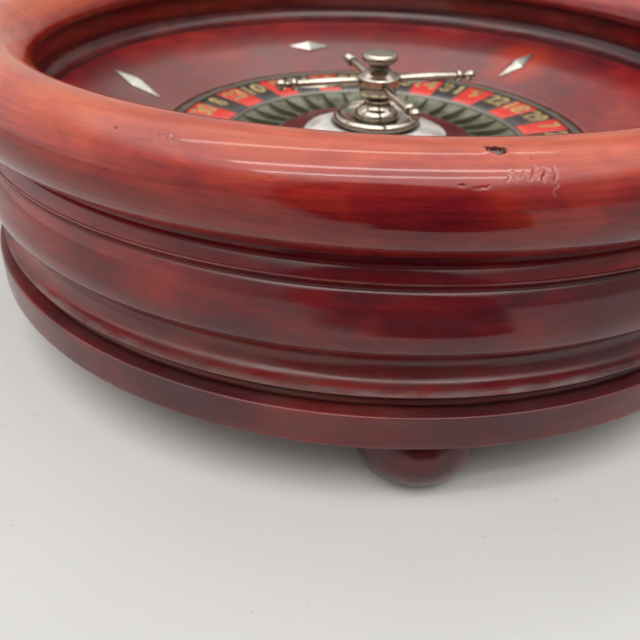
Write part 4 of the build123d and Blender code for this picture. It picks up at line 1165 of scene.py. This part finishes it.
# the top of the finial is hollowed to part of a sphere
HOLLOW_R, HOLLOW_DEPTH = 8.9, 1.2
HOLLOW_SPHERE = (HOLLOW_R**2 + HOLLOW_DEPTH**2) / (2 * HOLLOW_DEPTH)
hollow = []
for i in range(1, 8):
    hollow_r = HOLLOW_R * (1 - i / 8)
    sagitta = HOLLOW_SPHERE - math.sqrt(HOLLOW_SPHERE**2 - hollow_r**2)
    hollow.append((hollow_r, 108.9 + sagitta - 0.05))
lathe("turret_finial", "turret_knob", "nickel", "wheelhead", "nickel",
      [(0.0, CUP_TOP), (6.2, CUP_TOP)]
      + through([(6.3, 101.15), (5.85, 102.1), (6.0, 103.2)], (-0.5, 1), (0.5, 1), 6)
      + through([(6.2, 103.4), (9.0, 104.3), (11.3, 106.9)], (1, 0.1), (0, 1), 8)[1:]
      + through([(11.3, 106.9), (10.5, 109.2), (8.9, 110.05)], (0, 1), (-1, -0.05), 8)[1:]
      + hollow + [(0.0, 108.85)],
      step=0.5, segments=160, groove=[(8.3, 109.9, 0.7, 0.5), (5.95, 102.2, 1.7, 0.95)],
      edge=[(9.6, 109.9, 0.8, 0.5)])

# four arms with ball ends; the profile is (radius, distance from the turret's axis)
ARM_HEIGHTS = (91.2, 93.4)
ARM_AZIMUTH = -20.3  # of the first, from the back towards the right
ARM_PROFILE = (
    [(0.0, 6.0), (1.5, 6.0), (1.5, 13.3), (2.3, 13.3), (2.5, 13.5)]
    + through([(2.5, 13.6), (2.95, 30.0), (2.7, 45.0), (2.25, 53.2)], (0.06, 1), (-0.08, 1), 8)[1:]
    + [(2.35, 53.4), (2.95, 53.5)]
    + through([(3.1, 53.6), (3.78, 55.1), (3.1, 56.6)], (0.8, 1), (-0.8, 1), 7)[1:]
    + [(2.7, 56.9), (2.1, 57.3), (2.0, 58.6), (2.0, 60.0)]
    + arc((0.0, 63.1), 3.5, -55, 90, 14)[:-1] + [(0.0, 66.6)])
for i in range(4):
    azimuth = math.radians(ARM_AZIMUTH + 90 * i)
    out_x, out_y = math.sin(azimuth), math.cos(azimuth)
    # lays the turning axis along the arm
    place = Matrix(((0, out_y, out_x, 0), (0, -out_x, out_y, 0),
                    (1, 0, 0, (BASE + ARM_HEIGHTS[i % 2]) * MM), (0, 0, 0, 1)))
    lathe("arm_%d" % (i + 1), "turret_arm_%d" % (i + 1), "nickel", "wheelhead", "nickel",
          ARM_PROFILE, step=0.8, segments=64, base=0.0, placement=place,
          groove=[(2.35, 53.4, 0.6, 0.95), (2.1, 57.8, 1.4, 0.9), (2.3, 13.4, 0.9, 0.9),
                  (3.4, 61.6, 0.6, 0.3)],
          edge=[(2.9, 30.0, 12.0, 0.35)])

# ======================================================================================
# CAD pieces kept as they are
# ======================================================================================
KEPT_NODES = {
    "plywood": ["base_board", "bowl_floor", "apron_support_ring"],
    "steel": ["foot_studs", "base_screws", "deflector_screws", "spindle_flange_screws",
              "rotor_hub_screws", "spindle", "spindle_washer", "spindle_nut", "turret_stud"],
    "bearing": [name for name in CAD_NODES if name.endswith(("_race", "_bearing_balls"))],
    "brass": ["lower_bearing_cage", "upper_bearing_cage", "spindle_flange", "rotor_hub"],
    "rotor": ["wheelhead"],
}
for look, names in KEPT_NODES.items():
    for name in names:
        slots = CAD_NODES[name].data.materials
        slots.clear()
        slots.append(MATERIALS[look])


# ======================================================================================
# table top, from here on in metres
# ======================================================================================
def table_top():
    """Off-white, with painted light: brighter close round the wheel and darkening away from it,
    with faint specks.
    """
    graph = material_graph("table_top")
    position = graph.coordinates()
    x, y, z = graph.split(position)
    clouds = graph.noise(position, scale=9.0, detail=4.0, rough=0.6)
    grit = graph.noise(position, scale=700.0, detail=3.0, rough=0.6)
    color = graph.ramp(clouds, [(0.3, (0.690, 0.690, 0.676)), (0.7, (0.715, 0.715, 0.700))])
    color = graph.mix(graph.ramp(grit, [(0.70, 0.0), (0.76, 1.0)]) * 0.10, color,
                      (0.40, 0.39, 0.36))
    # painted light: brightness against the distance from the axis, lifting the floor round the
    # wheel's contact shadow
    falloff = graph.ramp(graph.math("SQRT", x * x + y * y),
                         [(0.215, 1.06), (0.232, 0.94), (0.250, 0.83), (0.270, 0.775),
                          (0.300, 0.735), (0.34, 0.70), (0.50, 0.66), (1.0, 0.64)])
    color = graph.multiply(color, graph.vector(falloff, falloff, falloff))
    specks = graph.noise(graph.vector(x * 240.0, y * 240.0, z), scale=1.0, detail=2.0, rough=0.5)
    color = graph.mix(graph.ramp(specks, [(0.735, 0.0), (0.75, 1.0)]) * 0.30, color,
                      (0.16, 0.15, 0.14))
    return graph.principled(Base_Color=color, Roughness=0.55, Specular_IOR_Level=0.25,
                            Normal=graph.bump(grit, strength=0.05, distance=0.0003))


def make_floor():
    material = table_top()
    bm = bmesh.new()
    bmesh.ops.create_grid(bm, x_segments=8, y_segments=8, size=40.0)
    floor = add_object("floor", to_mesh(bm, "floor"))
    floor.data.materials.append(material)


make_floor()


# ======================================================================================
# world and lights
# ======================================================================================
def make_world():
    """Walls darker towards the front and brighter to the left, under a bright ceiling."""
    world = bpy.data.worlds.new("studio")
    SCENE.world = world
    graph = Graph(world, third_input=None)
    x, y, z = graph.split(graph.coordinates("Generated"))
    front = graph.math("MULTIPLY", y, -1.0, clamp=True)
    left = graph.math("MULTIPLY", x, -1.0, clamp=True)
    wall = (0.40 - front * 0.24) + (left * left) * 0.85
    ceiling = graph.ramp(z, [(0.0, 0.0), (0.58, 0.04), (0.66, 0.40), (0.75, 1.0)], "EASE")
    strength = wall + (ceiling * 1.58) * (1.0 - y * 0.7)
    background = {"Color": (1.0, 0.985, 0.965, 1.0), "Strength": strength}
    graph.output(graph.value("ShaderNodeBackground", background), "ShaderNodeOutputWorld")


make_world()

TUBE_HEIGHT = 1.7
TUBE_ORIGIN = Vector((0.0, -0.24, 0.16))  # the point the tube directions are taken from
TUBE_COLOR = (1.0, 0.97, 0.94)
# (name, start and end as horizontal offsets per unit of height, width, radiance)
TUBES = [
    ("tube_1", (-0.56, -0.46), (0.62, -0.16), 0.12, 7.5),
    ("tube_2", (-0.58, -0.80), (0.66, -0.42), 0.12, 7.5),
    ("tube_3", (-0.60, 0.12), (0.46, 0.55), 0.11, 4.6),
]
for name, start, end, width, radiance in TUBES:
    a, b = (Vector((x * TUBE_HEIGHT, y * TUBE_HEIGHT, TUBE_HEIGHT)) + TUBE_ORIGIN
            for x, y in (start, end))
    length = (b - a).length
    light = bpy.data.lights.new(name, "AREA")
    light.shape = "RECTANGLE"
    light.size = length
    light.size_y = width
    light.energy = radiance * math.pi * length * width
    light.color = TUBE_COLOR
    tube = add_object(name, light)
    tube.location = (a + b) / 2
    tube.rotation_euler = (0, 0, math.atan2(b.y - a.y, b.x - a.x))
    tube.visible_camera = False


# ======================================================================================
# soft-edged dark cards in front of the wheel, seen only as reflections in the lacquer
# ======================================================================================
def spread(offset, half_width, power):
    """Grows from 0 at the centre to 1 at half_width."""
    return abs(offset / half_width) ** power


def dark_card(graph, reach, solid_until, color):
    """Dull colour where reach is below solid_until, clear beyond."""
    clear = graph.ramp(reach, [(solid_until, 0.0), (1.02, 1.0)])
    dull = graph.value("ShaderNodeBsdfDiffuse", {"Color": color})
    glass = graph.value("ShaderNodeBsdfTransparent")
    return graph.output(graph.value("ShaderNodeMixShader", {0: clear, 1: dull, 2: glass}))


def screen_material():
    graph = material_graph("dark_screen")
    position = graph.coordinates()
    x, _, z = graph.split(position)
    ragged = graph.noise(position, scale=9.0, detail=3.0, rough=0.6)
    broad = spread(x - 0.048, 0.205, power=2.1) + spread(z - 0.245, 0.240, power=2.1)
    narrow = spread(x - 0.110, 0.115, power=2.6) + spread(z - 0.060, 0.19, power=2.6)
    reach = graph.math("MINIMUM", broad, narrow) + (ragged - 0.5) * 0.45
    color = graph.ramp(graph.noise(position, scale=4.0),
                       [(0.3, (0.030, 0.024, 0.024)), (0.7, (0.060, 0.050, 0.050))])
    return dark_card(graph, reach, 0.70, color)


def make_screen():
    """An upright sheet, 0.62 wide and 0.52 tall, leaning towards the front as it rises."""
    bm = bmesh.new()
    rows = []
    for i in range(25):
        z = 0.002 + 0.52 * i / 24
        y = -0.42 - 0.085 * min(1.0, z / 0.2) - 0.03 * max(0.0, (z - 0.2) / 0.3)
        rows.append([bm.verts.new((-0.24 + 0.62 * j / 12, y, z)) for j in range(13)])
    for a, b in zip(rows, rows[1:]):
        for j in range(12):
            bm.faces.new((a[j], a[j + 1], b[j + 1], b[j]))
    mesh = to_mesh(bm, "dark_screen")
    mesh.materials.append(screen_material())
    return add_object("dark_screen", mesh)


def patch_material():
    graph = material_graph("dark_table_patch")
    position = graph.coordinates()
    x, y, _ = graph.split(position)
    ragged = graph.noise(position, scale=14.0, detail=3.0, rough=0.6)
    reach = spread(x - 0.112, 0.105, power=2.6) + spread(y + 0.490, 0.098, power=2.6)
    return dark_card(graph, reach + (ragged - 0.5) * 0.5, 0.60, (0.05, 0.042, 0.042, 1.0))


def make_table_patch():
    bm = bmesh.new()
    corners = [(0.0, -0.385), (0.225, -0.385), (0.225, -0.60), (0.0, -0.60)]
    bm.faces.new([bm.verts.new((x, y, 0.0015)) for x, y in corners])
    mesh = to_mesh(bm, "dark_table_patch")
    mesh.materials.append(patch_material())
    return add_object("dark_table_patch", mesh)


dark_screen = make_screen()
table_patch = make_table_patch()
for card in (table_patch, dark_screen):
    card.visible_camera = False
    card.visible_diffuse = False
    card.visible_shadow = False
    card.visible_transmission = False

# ======================================================================================
# camera: in front of the wheel, looking down towards the back
# ======================================================================================
CAMERA_Y, CAMERA_HEIGHT = -0.486582, 0.225620  # height above the underside of the plinth
YAW, PITCH, ROLL = -0.065864, 0.574746, 0.032656  # radians; pitch is downwards
LENS = 42.627375
APERTURE = 2.6  # diameter in millimetres


def make_camera():
    forward = Vector((math.sin(YAW) * math.cos(PITCH), math.cos(YAW) * math.cos(PITCH),
                      -math.sin(PITCH)))
    level = Vector((math.cos(YAW), -math.sin(YAW), 0))
    upward = level.cross(forward)
    right = level * math.cos(ROLL) + upward * math.sin(ROLL)
    top = -level * math.sin(ROLL) + upward * math.cos(ROLL)
    data = bpy.data.cameras.new("camera")
    camera = add_object("camera", data)
    camera.matrix_world = Matrix(((right.x, top.x, -forward.x, 0.0),
                                  (right.y, top.y, -forward.y, CAMERA_Y),
                                  (right.z, top.z, -forward.z, CAMERA_HEIGHT + BASE * MM),
                                  (0, 0, 0, 1)))
    data.sensor_width = 36.0
    data.lens = LENS
    data.clip_start = 0.01
    data.clip_end = 50.0
    focus = add_object("focus_point", None)
    focus.location = (0.02, -0.246, 0.11)
    data.dof.use_dof = True
    data.dof.focus_object = focus
    data.dof.aperture_fstop = data.lens / APERTURE
    SCENE.camera = camera


make_camera()

SCENE.view_settings.view_transform = "Standard"
SCENE.view_settings.look = "None"
SCENE.view_settings.exposure = 0.0
